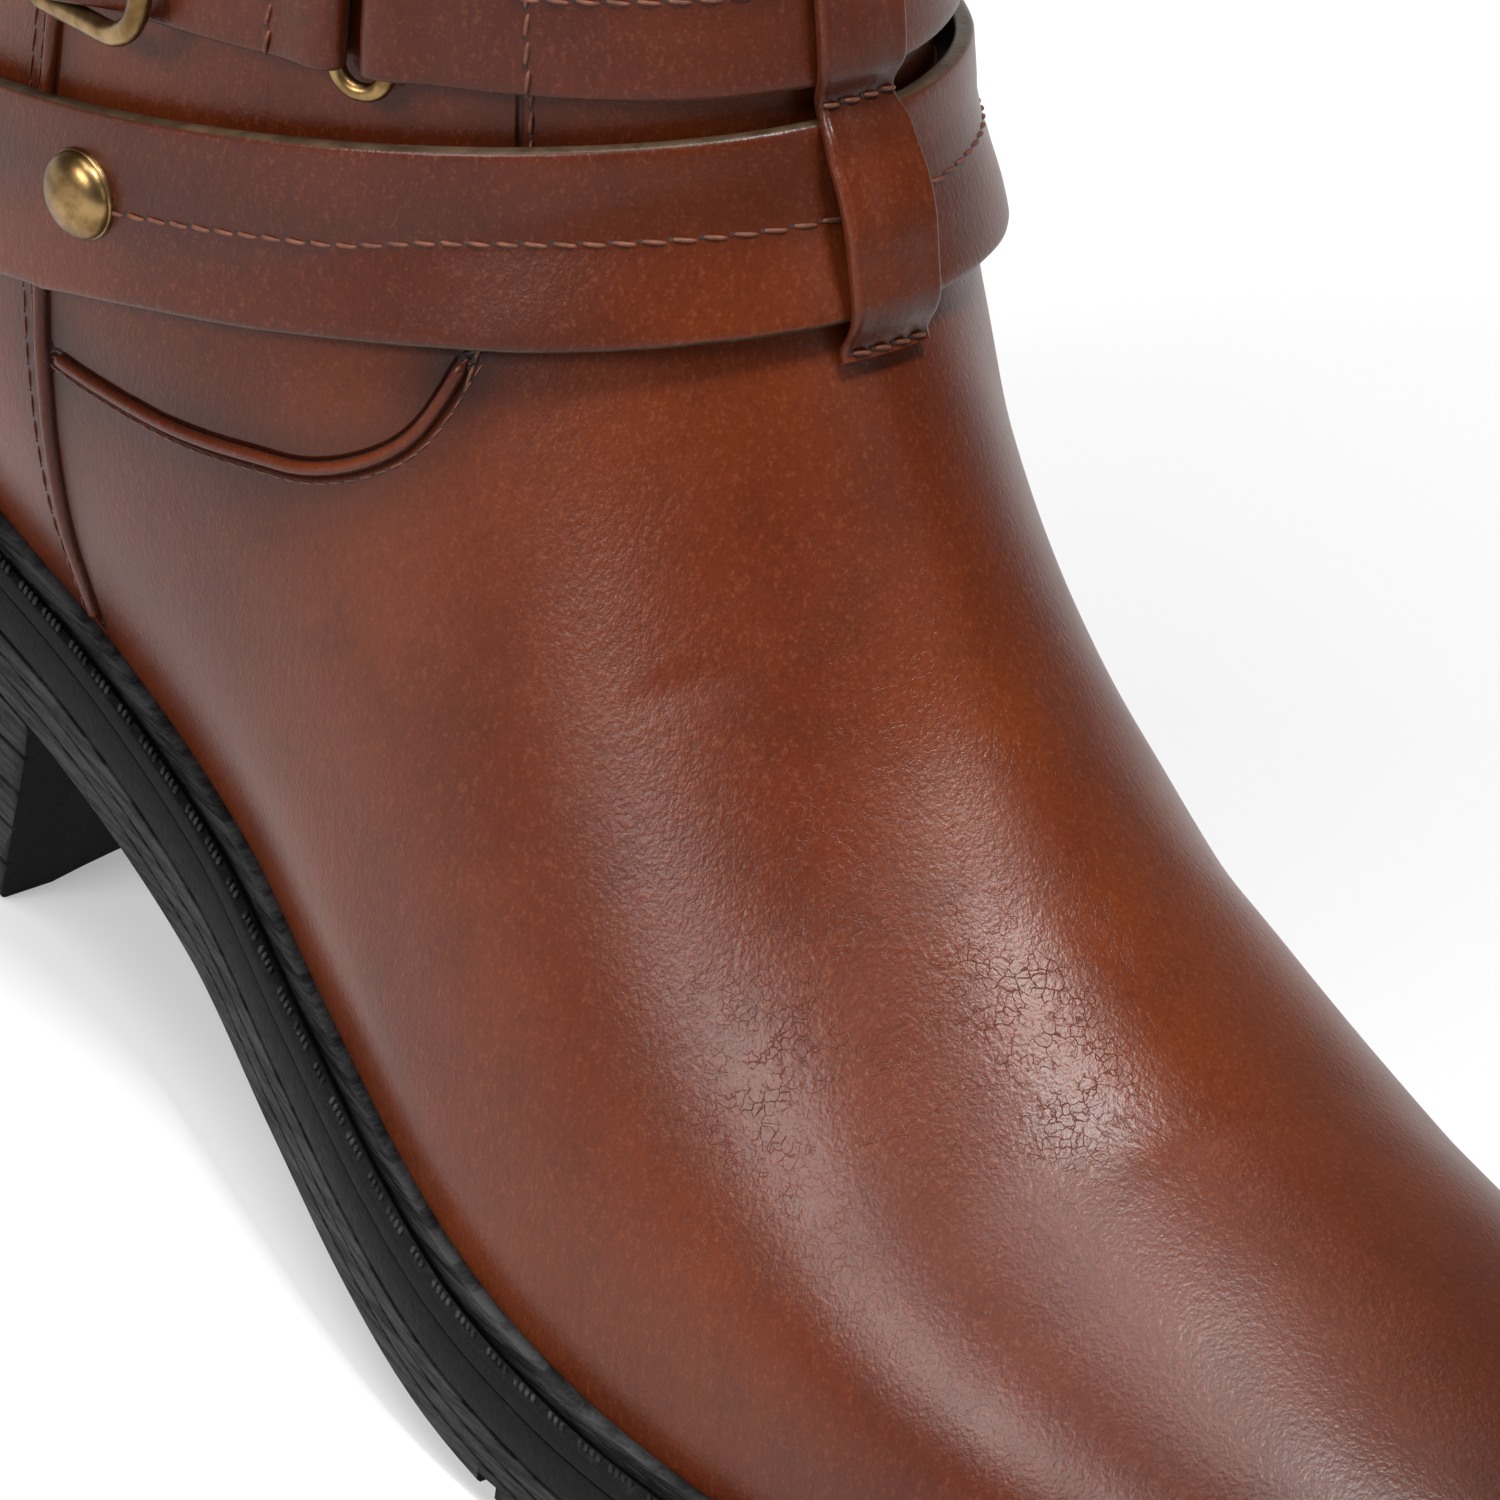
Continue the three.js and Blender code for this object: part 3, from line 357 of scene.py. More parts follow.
def on_side(x, z, side):
    """Rows and turns at which the side view shows x and z, on the outer or inner side."""
    x = np.asarray(x, float)
    z = np.asarray(z, float)

    def below(p):
        low = surface(p, 0.0)
        top = surface(p, 0.5)
        return ((top[..., 0] - low[..., 0]) * (z - low[..., 2])
                - (top[..., 2] - low[..., 2]) * (x - low[..., 0])) > 0

    p = sum(bisect(np.full(x.shape, 0.01), np.full(x.shape, float(LAST_ROW)), 36, below)) / 2
    low = surface(p, 0.0)
    span = surface(p, 0.5) - low
    reach = span[..., 0] ** 2 + span[..., 2] ** 2
    share = ((x - low[..., 0]) * span[..., 0] + (z - low[..., 2]) * span[..., 2]) / reach

    def short(u):
        point = surface(p, u) - low
        return (point[..., 0] * span[..., 0] + point[..., 2] * span[..., 2]) / reach < share

    u = bisect(np.zeros(x.shape), np.full(x.shape, 0.5), 26, short)[0]
    return p, u if side < 0 else 1 - u


# Meshes

def grid_faces(rows, columns, flip=False):
    i = np.arange(rows - 1)[:, None] * columns
    j = np.arange(columns - 1)[None, :]
    a = i + j
    quads = np.stack([a, a + 1, a + columns + 1, a + columns], -1).reshape(-1, 4)
    return quads[:, ::-1] if flip else quads


def skin_faces(rings, count, loop=False, caps=True):
    """Quads of a tube of rings, its ends closed or joined to each other."""
    i = np.arange(rings if loop else rings - 1)[:, None]
    j = np.arange(count)[None, :]
    k = (j + 1) % count
    a = i * count
    b = ((i + 1) % rings) * count
    faces = np.stack([a + j, a + k, b + k, b + j], -1).reshape(-1, 4).tolist()
    if caps and not loop:
        faces.append(list(range(count))[::-1])
        faces.append(list(range((rings - 1) * count, rings * count)))
    return faces


def strip_cap(base, count, flip):
    """Closes a long ring by strips between its first and second half."""
    faces = []
    for j in range(count // 2):
        face = [base + n % count for n in (j, j + 1, count - j - 1, count - j)]
        face = list(dict.fromkeys(face))
        if len(face) > 2:
            faces.append(face if flip else face[::-1])
    return faces


def bare_object(name, points, faces):
    """A mesh object in the frame, from points in millimetres."""
    mesh = bpy.data.meshes.new(name)
    places = (np.asarray(points).reshape(-1, 3) - ORIGIN) * MM
    mesh.from_pydata(places.tolist(), [], list(map(list, faces)))
    thing = bpy.data.objects.new(name, mesh)
    bpy.context.scene.collection.objects.link(thing)
    return thing


def shade(mesh, sharp):
    """Smooth shading, with edges sharper than an angle in degrees kept."""
    mesh.shade_smooth()
    mesh.set_sharp_from_angle(angle=math.radians(sharp))


def make_piece(name, points, faces, slots, nodes=(), weld=False, sharp=35, indices=None, **fields):
    """A piece with its materials, the nodes it replaces and its float fields; the record slot named first in
    slots is not used.
    """
    piece = bare_object(name, points, faces)
    mesh = piece.data
    for field, values in fields.items():
        data = mesh.attributes.new(field, "FLOAT", "POINT").data
        data.foreach_set("value", np.ascontiguousarray(values, dtype=np.float32).ravel())
    if indices is not None:
        mesh.polygons.foreach_set("material_index", np.asarray(indices, dtype=np.int32))
    if weld:
        work = bmesh.new()
        work.from_mesh(mesh)
        bmesh.ops.remove_doubles(work, verts=work.verts, dist=WELD_DISTANCE)
        work.to_mesh(mesh)
        work.free()
    shade(mesh, sharp)
    for material in slots[1:]:
        mesh.materials.append(material)
    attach(piece, "root")
    if nodes:
        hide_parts(*nodes)
    return piece


def cut(piece, cutter):
    """Takes the cutter out of a piece and deletes the cutter."""
    modifier = piece.modifiers.new("cut", "BOOLEAN")
    modifier.operation = "DIFFERENCE"
    modifier.solver = "EXACT"
    modifier.object = cutter
    depsgraph = bpy.context.evaluated_depsgraph_get()
    mesh = bpy.data.meshes.new_from_object(piece.evaluated_get(depsgraph))
    piece.modifiers.clear()
    piece.data = mesh
    shade(mesh, 30)
    bpy.data.objects.remove(cutter)


def box_points(low, high):
    """Corners of a box, in the order that BOX_FACES takes them."""
    corners = np.array([(x, y, z) for x in (0, 1) for y in (0, 1) for z in (0, 1)], float)
    return np.asarray(low) + corners * (np.asarray(high) - np.asarray(low))


BOX_FACES = np.array([(0, 1, 3, 2), (4, 6, 7, 5), (0, 4, 5, 1), (2, 3, 7, 6), (0, 2, 6, 4), (1, 5, 7, 3)])


# Materials

def add_node(tree, kind, inputs=None, **settings):
    """A node with its settings, and with its inputs linked to sockets or set to values."""
    made = tree.nodes.new(kind)
    for key, value in settings.items():
        setattr(made, key, value)
    for key, value in (inputs or {}).items():
        if isinstance(value, bpy.types.NodeSocket):
            tree.links.new(value, made.inputs[key])
        else:
            made.inputs[key].default_value = value
    return made


def start_material(name):
    material = bpy.data.materials.new(name)
    material.use_nodes = True
    tree = material.node_tree
    shader = tree.nodes["Principled BSDF"]
    place = add_node(tree, "ShaderNodeTexCoord").outputs["Object"]
    return material, tree, shader, place


def noise(tree, place, scale, detail, roughness):
    made = add_node(tree, "ShaderNodeTexNoise", {
        "Vector": place, "Scale": scale, "Detail": detail, "Roughness": roughness})
    return made.outputs["Fac"]


def ramp(tree, value, low, high, to_low=0.0, to_high=1.0):
    made = add_node(tree, "ShaderNodeMapRange", {
        "Value": value, "From Min": low, "From Max": high, "To Min": to_low, "To Max": to_high},
        interpolation_type="SMOOTHSTEP")
    return made.outputs["Result"]


def maths(tree, operation, a, b=0.0):
    made = add_node(tree, "ShaderNodeMath", operation=operation)
    for socket, value in zip(made.inputs, (a, b)):
        if isinstance(value, bpy.types.NodeSocket):
            tree.links.new(value, socket)
        else:
            socket.default_value = value
    return made.outputs[0]


def blend_colour(tree, factor, a, b):
    made = add_node(tree, "ShaderNodeMix", data_type="RGBA")
    for index, value in ((0, factor), (6, a), (7, b)):
        if isinstance(value, bpy.types.NodeSocket):
            tree.links.new(value, made.inputs[index])
        else:
            made.inputs[index].default_value = value if index == 0 else (*value, 1)
    return made.outputs[2]


def mottle(tree, texture, reach, a, b):
    """Colour a, turning to b as the texture runs over the reach of a ramp."""
    return blend_colour(tree, ramp(tree, texture, *reach), a, b)


def finish(tree, shader, colour, roughness, normal):
    for socket, value in (("Base Color", colour), ("Roughness", roughness), ("Normal", normal)):
        tree.links.new(value, shader.inputs[socket])


def field(tree, name):
    return add_node(tree, "ShaderNodeAttribute", attribute_name=name).outputs["Fac"]


def bump(tree, height, depth, strength=1.0, after=None):
    """A bump of a depth in millimetres, on top of another."""
    inputs = {"Height": height, "Distance": depth * MM, "Strength": strength}
    if after is not None:
        inputs["Normal"] = after
    return add_node(tree, "ShaderNodeBump", inputs).outputs["Normal"]


# The leather's grain: texture scales per metre and depths in millimetres
PORE_SCALE, PORE_DEPTH = 2500, 0.035
WRINKLE_SCALE, WRINKLE_DEPTH = 1500, 0.055
WRINKLE_STRETCH = (1.0, 1.0, 0.45)
CRACK_SCALE, CRACK_DEPTH = 860.0, 0.05
CRACK_WANDER_SCALE, CRACK_WANDER = 620.0, (0.0018, 0.0018, 0.0018)


def leather_grain(tree, place, crackle):
    """The bump of pebbled pores, short wrinkles and, where crackle says so, cracked scales.
    Also gives the pores' and the cracks' own strength, for the colour."""
    pores = noise(tree, place, PORE_SCALE, 2.0, 0.55)
    normal = bump(tree, pores, PORE_DEPTH)
    upright = add_node(tree, "ShaderNodeMapping", {"Vector": place, "Scale": WRINKLE_STRETCH}).outputs[0]
    wrinkles = noise(tree, upright, WRINKLE_SCALE, 3.0, 0.6)
    normal = bump(tree, wrinkles, WRINKLE_DEPTH, 1.0, normal)
    wander = add_node(tree, "ShaderNodeTexNoise", {
        "Vector": place, "Scale": CRACK_WANDER_SCALE, "Detail": 4.0}).outputs["Color"]
    bent = add_node(tree, "ShaderNodeVectorMath", {0: wander, 1: CRACK_WANDER}, operation="MULTIPLY")
    spot = add_node(tree, "ShaderNodeVectorMath", {0: place, 1: bent.outputs[0]}, operation="ADD").outputs[0]
    cells = add_node(tree, "ShaderNodeTexVoronoi", {"Vector": spot, "Scale": CRACK_SCALE, "Randomness": 1.0},
                     feature="DISTANCE_TO_EDGE").outputs["Distance"]
    broken = ramp(tree, noise(tree, place, 420, 2.0, 0.6), 0.40, 0.58)
    cracks = maths(tree, "MULTIPLY", ramp(tree, cells, 0.0, 0.05, 1.0, 0.0),
                   maths(tree, "MULTIPLY", broken, crackle))
    normal = bump(tree, maths(tree, "SUBTRACT", 1.0, cracks), CRACK_DEPTH, 1.0, normal)
    return normal, maths(tree, "MULTIPLY", pores, wrinkles), cracks


# Colours of the leathers, their burnt tone, which also paints shade, the painted shadow in a seam's groove
# and the painted strap edges
CHESTNUT = (0.080, 0.0125, 0.0028)
COGNAC = (0.116, 0.0215, 0.0046)
# Burnt tone: real burnt mottles and grain, and also painted shade where the leather's darkening field lays it
# on
BURNT_AND_SHADE = (0.020, 0.0048, 0.0026)
RUBBED = (0.26, 0.085, 0.034)
STRAP_DARK = (0.062, 0.0100, 0.0028)
STRAP_LIGHT = (0.098, 0.0175, 0.0042)
# Painted shadow in the seams' grooves
SEAM_SHADOW = (0.010, 0.003, 0.002)
EDGE_DARK = (0.030, 0.017, 0.009)
EDGE_LIGHT = (0.064, 0.040, 0.022)
LEATHER_ROUGHNESS = (0.30, 0.35)
LEATHER_SPECULAR = 0.24


def leather(name, dark, light, broad, mottles, crackle, trim):
    """Burnished leather, satin and a little uneven in gloss. broad is the scale and ramp of the
    patches from dark to light and mottles the scale of the burnt mottles. crackle gives the
    strength of the cracked scales, and trim adds what one leather has alone."""
    material, tree, shader, place = start_material(name)
    colour = mottle(tree, noise(tree, place, broad[0], 2.0, 0.5), broad[1:], dark, light)
    colour = mottle(tree, noise(tree, place, mottles, 4.0, 0.6), (0.42, 0.75, 0.0, 0.22), colour, BURNT_AND_SHADE)
    normal, pores, cracks = leather_grain(tree, place, crackle(tree, place))
    colour = mottle(tree, pores, (0.27, 0.40, 0.0, 0.16), colour, RUBBED)
    colour = mottle(tree, pores, (0.13, 0.23, 0.22, 0.0), colour, BURNT_AND_SHADE)
    colour = blend_colour(tree, maths(tree, "MULTIPLY", cracks, 0.45), colour, BURNT_AND_SHADE)
    # Darkens towards the burnt tone by the darkening field: real burnish in places, painted shade in others
    # (seam rolls' flanks, the forefoot's inner side, the strap's bend, the keeper's tucks)
    colour = blend_colour(tree, field(tree, "burnish"), colour, BURNT_AND_SHADE)
    colour, normal = trim(tree, place, colour, normal)
    gloss = ramp(tree, noise(tree, place, 60, 3.0, 0.6), 0.3, 0.7, *LEATHER_ROUGHNESS)
    finish(tree, shader, colour, gloss, normal)
    shader.inputs["Specular IOR Level"].default_value = LEATHER_SPECULAR
    return material


def upper_crackle(tree, place):
    patches = noise(tree, place, 90, 3.0, 0.6)
    return maths(tree, "MULTIPLY", ramp(tree, patches, 0.36, 0.60), field(tree, "crackle"))


def seam_grooves(tree, _, colour, normal):
    """A groove along the upper's seams, bumped in and darkened with painted shadow."""
    groove = maths(tree, "ABSOLUTE", field(tree, "groove"))
    colour = mottle(tree, groove, (0.05, 0.45, 0.75, 0.0), colour, SEAM_SHADOW)
    return colour, bump(tree, ramp(tree, groove, 0.05, 0.6), 0.4, 1.0, normal)


def strap_crackle(tree, place):
    return ramp(tree, noise(tree, place, 40, 2.0, 0.5), 0.52, 0.68, 0.0, 0.2)


def painted_edges(tree, place, colour, normal):
    paint = mottle(tree, noise(tree, place, 300, 3.0, 0.6), (0.3, 0.7), EDGE_DARK, EDGE_LIGHT)
    return mottle(tree, field(tree, "edge"), (0.35, 0.75), colour, paint), normal


# Rubber: smooth from black to dusty, ribbed from dark to rubbed, with streaks along the layers. The moulded
# welt stitches take the ribbed colour, worn grey that also paints their highlights
SMOOTH_RUBBER = (0.0035, 0.0035, 0.0038), (0.010, 0.010, 0.011)
RIBBED_RUBBER = (0.008, 0.008, 0.0085), (0.035, 0.035, 0.036)
STREAK_STRETCH = (0.25, 0.25, 3.0)
RUBBER_ROUGHNESS = (0.56, 0.70)
RUBBER_SPECULAR = 0.10


def black_rubber():
    """Matt rubber: smooth and black, or streaked, mottled and greyer where streak says so."""
    material, tree, shader, place = start_material("black_rubber")
    dust = noise(tree, place, 700, 5.0, 0.7)
    flat = add_node(tree, "ShaderNodeMapping", {"Vector": place, "Scale": STREAK_STRETCH}).outputs[0]
    lines = noise(tree, flat, 420, 4.0, 0.75)
    streak = field(tree, "streak")
    colour = blend_colour(tree, streak, mottle(tree, dust, (0.5, 0.7), *SMOOTH_RUBBER),
                          mottle(tree, lines, (0.38, 0.62), *RIBBED_RUBBER))
    normal = bump(tree, noise(tree, place, 1300, 3.0, 0.65), 0.10)
    normal = bump(tree, maths(tree, "MULTIPLY", lines, streak), 0.30, 1.0, normal)
    finish(tree, shader, colour, ramp(tree, dust, 0.3, 0.7, *RUBBER_ROUGHNESS), normal)
    shader.inputs["Specular IOR Level"].default_value = RUBBER_SPECULAR
    return material


def plain_material(name, dark, light, scale, roughness, depth, metallic=0.0):
    """A worn surface from dark to light, with a fine bump of a depth in millimetres."""
    material, tree, shader, place = start_material(name)
    worn = noise(tree, place, scale, 3.0, 0.6)
    fine = bump(tree, noise(tree, place, scale * 4, 3.0, 0.6), depth, 0.6)
    gloss = ramp(tree, worn, 0.3, 0.7, roughness, roughness * 0.8)
    finish(tree, shader, mottle(tree, worn, (0.3, 0.7), dark, light), gloss, fine)
    shader.inputs["Metallic"].default_value = metallic
    return material


LEATHER = leather("upper_leather", CHESTNUT, COGNAC, (22, 0.36, 0.68), 130, upper_crackle, seam_grooves)
STRAP = leather("strap_leather", STRAP_DARK, STRAP_LIGHT, (26, 0.36, 0.66), 150, strap_crackle, painted_edges)
RUBBER = black_rubber()
LINING = plain_material("lining", (0.19, 0.115, 0.065), (0.27, 0.17, 0.10), 500, 0.9, 0.12)
BRASS = plain_material("antique_brass", (0.12, 0.066, 0.022), (0.33, 0.21, 0.090), 260, 0.36, 0.03, 1.0)
THREAD = plain_material("thread", (0.072, 0.019, 0.007), (0.145, 0.041, 0.015), 900, 0.7, 0.05)
SEAM_THREAD = plain_material("seam_thread", (0.060, 0.014, 0.005), (0.12, 0.033, 0.012), 900, 0.7, 0.05)
# A dark disc at each needle hole paints the shade inside it
NEEDLE_HOLE_SHADE = plain_material("needle_hole_shade", (0.016, 0.006, 0.004), (0.03, 0.011, 0.006), 900, 0.9, 0.02)


# Stitches

# A stitch's rings: share of its length, and width and height over the leather in radii
STITCH_SHARE = np.array([0, 0.12, 0.32, 0.5, 0.68, 0.88, 1])
STITCH_WIDTH = np.array([0.5, 0.85, 1, 1, 1, 0.85, 0.5])
STITCH_RISE = np.array([-0.45, 0.15, 0.5, 0.5 * 1.15, 0.5, 0.15, -0.45])
STITCH_SIDES = 6
HOLE_SIDES = 8
HOLE_DEPTH = 0.12


def copies(faces, size, count):
    """The faces of count equal parts of size points each."""
    return [[n * size + v for v in face] for n in range(count) for face in faces]


def capsules(starts, ends, normals, radius):
    """Short threads from starts to ends, which rise between and sink at both ends."""
    run = unit(ends - starts)
    normals = unit(normals - (normals * run).sum(-1, keepdims=True) * run)
    across = np.cross(run, normals)
    turn = np.arange(STITCH_SIDES) / STITCH_SIDES * 2 * np.pi
    centre = (starts[:, None] + STITCH_SHARE[None, :, None] * (ends - starts)[:, None]
              + (STITCH_RISE * radius)[None, :, None] * normals[:, None])
    ring = (np.cos(turn)[None, None, :, None] * across[:, None, None]
            + np.sin(turn)[None, None, :, None] * normals[:, None, None])
    points = centre[:, :, None] + ring * (STITCH_WIDTH * radius)[None, :, None, None]
    each = skin_faces(len(STITCH_SHARE), STITCH_SIDES)
    return points.reshape(-1, 3), copies(each, len(STITCH_SHARE) * STITCH_SIDES, len(starts))


def along_path(pitch, points, *extra):
    """Evenly spaced places along a path, with values that go with its points."""
    steps = np.linalg.norm(np.diff(points, axis=0), axis=1)
    reach = np.concatenate([[0], np.cumsum(steps)])
    at = np.arange(int(reach[-1] // pitch) + 1) * pitch
    return [np.stack([np.interp(at, reach, column) for column in values.T], 1)
            for values in (points, *extra)]


class Threads:
    """Collects stitches, with a dark disc of painted shade for the needle hole at the start of each."""

    def __init__(self):
        self.starts, self.ends, self.normals = [], [], []

    def line(self, points, normals, pitch=STITCH_PITCH, slant=0.16):
        spots, facing = along_path(pitch, points, normals)
        run = unit(np.gradient(spots, axis=0))
        across = unit(np.cross(run, facing))
        half = pitch * STITCH_COVER / 2
        self.starts.append(spots - run * half - across * slant)
        self.ends.append(spots + run * half + across * slant)
        self.normals.append(unit(facing))

    def make(self, name, radius, material):
        starts, ends, normals = (np.concatenate(v) for v in (self.starts, self.ends, self.normals))
        points, faces = capsules(starts, ends, normals, radius)
        make_piece(name, points, faces, ("leather", material), sharp=80)
        turn = np.arange(HOLE_SIDES) / HOLE_SIDES * 2 * np.pi
        run = unit(ends - starts)
        across = unit(np.cross(run, normals))
        centre = starts - run * 0.1 + normals * 0.05
        ring = (np.cos(turn)[None, :, None] * run[:, None] * radius * 1.3
                + np.sin(turn)[None, :, None] * across[:, None] * radius)
        holes = centre[:, None] + ring
        rim = holes - normals[:, None] * HOLE_DEPTH
        both = np.concatenate([rim, holes], 1)
        faces = copies(skin_faces(2, HOLE_SIDES), 2 * HOLE_SIDES, len(starts))
        make_piece(name + "_holes", both, faces, ("leather", NEEDLE_HOLE_SHADE), sharp=80)


threads = Threads()
fine_threads = Threads()


# Seam paths in the side view

SIDE_SEAM = table("rise x", [
    (0, 0.249),
    (0.03, 0.248),
    (0.065, 0.241),
    (0.10, 0.232),
    (0.14, 0.226),
    (0.18, 0.222),
    (0.23, 0.217),
    (0.33, 0.209),
    (0.48, 0.201),
    (0.70, 0.197),
    (0.985, 0.197),
])
VAMP_SEAM = table("x z", [
    (0.2425, 0.600),
    (0.268, 0.607),
    (0.318, 0.628),
    (0.361, 0.656),
    (0.385, 0.672),
    (0.408, 0.703),
    (0.424, 0.745),
    (0.430, 0.812),
])
FRONT_SEAM = table("x z", [
    (0.430, 0.800),
    (0.4255, 0.890),
    (0.4195, 0.975),
    (0.412, 1.060),
    (0.402, 1.250),
    (0.392, 1.600),
    (0.386, 2.100),
    (0.386, 2.600),
    (0.392, 3.150),
])


def eased(path, reach=6):
    """A path with its small kinks evened out, its ends left in place."""
    window = np.hanning(2 * reach + 1)
    window /= window.sum()
    even = np.stack([np.convolve(column, window, "valid") for column in path.T], 1)
    return np.concatenate([path[:reach], even, path[-reach:]])


def seam(rows, side, steps, shift=0.0):
    """A seam on the leather through places of the side view, shifted square to itself, with
    its normals."""
    xs = rows["x"] * LENGTH
    zs = SEAT_Z + rows["rise"] * (SHAFT_HEIGHT - SEAT_Z) if "rise" in rows else rows["z"] * INSTEP_HEIGHT
    keys = np.arange(len(xs), dtype=float)
    t = np.linspace(0, len(xs) - 1, steps)
    flat = np.stack([smooth(keys, xs, t), smooth(keys, zs, t)], 1)
    flat = eased(flat, steps // 12)
    run = unit(np.gradient(flat, axis=0))
    flat = flat + shift * np.stack([run[:, 1], -run[:, 0]], 1)
    p, u = on_side(flat[:, 0], flat[:, 1], side)
    return surface(p, u), normal_at(p, u)


# A distance that means no seam is near, and how many points are measured at a time
FAR_AWAY = 99.0
BATCH = 8000


def signed_distance(points, path, facing):
    """How far points lie to the right of a path on the leather, and far away past its ends."""
    run = unit(np.gradient(path, axis=0))
    across = unit(np.cross(run, facing))
    result = np.full(len(points), FAR_AWAY)
    for start in range(0, len(points), BATCH):
        part = points[start:start + BATCH]
        gap = part[:, None] - path[None]
        nearest = np.argmin((gap ** 2).sum(-1), 1)
        rows = np.arange(len(part))
        away = gap[rows, nearest]
        sign = np.sign((away * across[nearest]).sum(-1))
        result[start:start + BATCH] = np.linalg.norm(away, axis=1) * np.where(sign == 0, 1, sign)
    return result


# The upper

def even_rows(count, density):
    """Rows of the upper at even steps of its surface, weighted by a density over the rows."""
    fine = np.linspace(0, LAST_ROW, 2600)
    steps = np.maximum(
        np.linalg.norm(np.diff(surface(fine, 0.5), axis=0), axis=1),
        np.linalg.norm(np.diff(surface(fine, 0.12), axis=0), axis=1))
    steps = steps * density((fine[1:] + fine[:-1]) / 2)
    reach = np.concatenate([[0], np.cumsum(steps)])
    return np.interp(np.linspace(0, reach[-1], count), reach, fine)


# Creases: middle and reach in the plan as shares of the length and of the ball width,
# the angle of the crease from the axis, its half length, half width and height in millimetres.
CREASES = table("x y angle reach width height", [
    (0.745, -0.100, 69, 17, 5.0, -0.36),
    (0.690, -0.130, 69, 18, 9.0, 0.15),
    (0.800, -0.100, 72, 18, 9.0, 0.16),
    (0.757, 0.011, 78, 9, 1.1, -0.14),
    (0.748, 0.050, 84, 7, 1.0, -0.10),
    (0.770, -0.030, 74, 7, 1.2, 0.09),
    (0.543, -0.275, 52, 6, 0.9, -0.15),
    (0.550, -0.262, 44, 5, 0.8, -0.11),
    (0.536, -0.300, 60, 5, 1.0, 0.09),
    (0.697, 0.000, 24, 8, 1.3, -0.15),
    (0.706, 0.030, 32, 6, 1.0, 0.10),
    (0.600, 0.020, 84, 18, 5.0, -0.18),
    (0.640, 0.000, 86, 20, 6.0, 0.14),
    (0.640, 0.300, 100, 12, 4.0, -0.25),
    (0.600, 0.280, 104, 12, 4.5, 0.20),
])


def relief(points, normals):
    """Height of the creases and of the leather's gentle unevenness over the plain form."""
    x, y, z = points.T
    height = np.zeros(len(points))
    for cx, cy, angle, reach, width, rise in zip(*CREASES.values()):
        dx = x - cx * LENGTH
        dy = y - cy * BALL_WIDTH
        along = dx * math.cos(math.radians(angle)) + dy * math.sin(math.radians(angle))
        across = -dx * math.sin(math.radians(angle)) + dy * math.cos(math.radians(angle))
        across = across + 0.012 * along ** 2
        shape = np.exp(-(along / reach) ** 2 - (across / width) ** 2)
        height += rise * shape * np.clip(normals[:, 2] * 3, 0, 1)
    swell = (np.sin(x / 17 + 0.6 * np.sin(z / 13)) * np.sin(y / 15 + z / 21)
             + 0.6 * np.sin(x / 9.5 - z / 12 + 1.3) * np.sin(y / 11 + 0.4))
    edge = z - floor_to(np.clip(x, 0, LENGTH)) - FEATHER
    return height + 0.03 * swell * np.clip(edge / 12, 0, 1)


def seam_fields(points):
    """The signed distance to the nearest open seam, and the burnish along all seams."""
    groove = np.full(len(points), FAR_AWAY)
    burnish = np.zeros(len(points))
    for side in (-1, 1):
        near = points[:, 1] * side > -2
        spots = points[near]
        back = signed_distance(spots, *seam(SIDE_SEAM, side, 320))
        front = signed_distance(spots, *seam(FRONT_SEAM, side, 300))
        vamp = signed_distance(spots, *seam(VAMP_SEAM, side, 120))
        part = groove[near]
        for distance in (front, np.abs(back) - SEAM_ROLL / 2, np.abs(vamp) - PIPING_ROLL / 2):
            part = np.where(np.abs(distance) < np.abs(part), distance, part)
        groove[near] = part
        dark = (0.55 * np.exp(-(back / 5.0) ** 2) + 0.40 * np.exp(-(front / 4.5) ** 2)
                + 0.55 * np.exp(-(vamp / 5.5) ** 2))
        burnish[near] = np.maximum(burnish[near], dark)
    return groove, burnish


def spread(x, middle, width):
    """A bell of height one."""
    return np.exp(-((x - middle) / width) ** 2)


# The upper's mesh: its rows, its columns, and how densely the rows lie at some sections
UPPER_ROWS = 325
UPPER_COLUMNS = 240
ROW_DENSITY = [0, 16, 19, 21, 26], [1, 1, 0.75, 0.42, 0.36]
# The lining has every third of the outside's rows and columns
LINING_STEP = 3
# Spots of cracked finish: length and ball width shares, radius and strength, over a faint trace
CRACKLE_SPOTS = ((0.702, -0.12, 11, 0.9), (0.655, -0.32, 12, 0.7), (0.66, 0.1, 26, 0.3))
CRACKLE_TRACE = 0.08


def upper_burnish(points, seams_dark):
    """How far the leather is darkened: seams, toe, bottom edge, outer waist and heel, and painted shade on
    the inner side of the forefoot.
    """
    x, y, z = points.T
    edge = z - floor_to(np.clip(x, 0, LENGTH)) - FEATHER
    toe = np.clip((x - 0.80 * LENGTH) / (0.2 * LENGTH), 0, 1) ** 0.9
    # The term round the ball on the inner side paints shade on the forefoot's far side
    dark = seams_dark + 0.95 * toe + 0.35 * spread(x, 0.80 * LENGTH, 30) * np.clip(y / 14 + 0.35, 0, 1)
    waist = spread(x, 0.36 * LENGTH, 26) * spread(z, 60, 30) * (y < 0)
    dark = dark + 0.10 * np.exp(-edge / 3.0) + 0.25 * waist
    heel = np.clip(1 - x / (0.18 * LENGTH), 0, 1) * np.clip(1 - (z - 60) / 80, 0, 1)
    return np.clip(dark + 0.3 * heel, 0, 0.95)


def upper_cracks(points):
    """How far the finish is cracked at each point."""
    x, y, _ = points.T
    cracked = np.zeros(len(x))
    for along, across, wide, strength in CRACKLE_SPOTS:
        cracked += strength * spread(x, along * LENGTH, wide) * spread(y, across * BALL_WIDTH, wide)
    return np.clip(cracked + CRACKLE_TRACE, 0, 1)


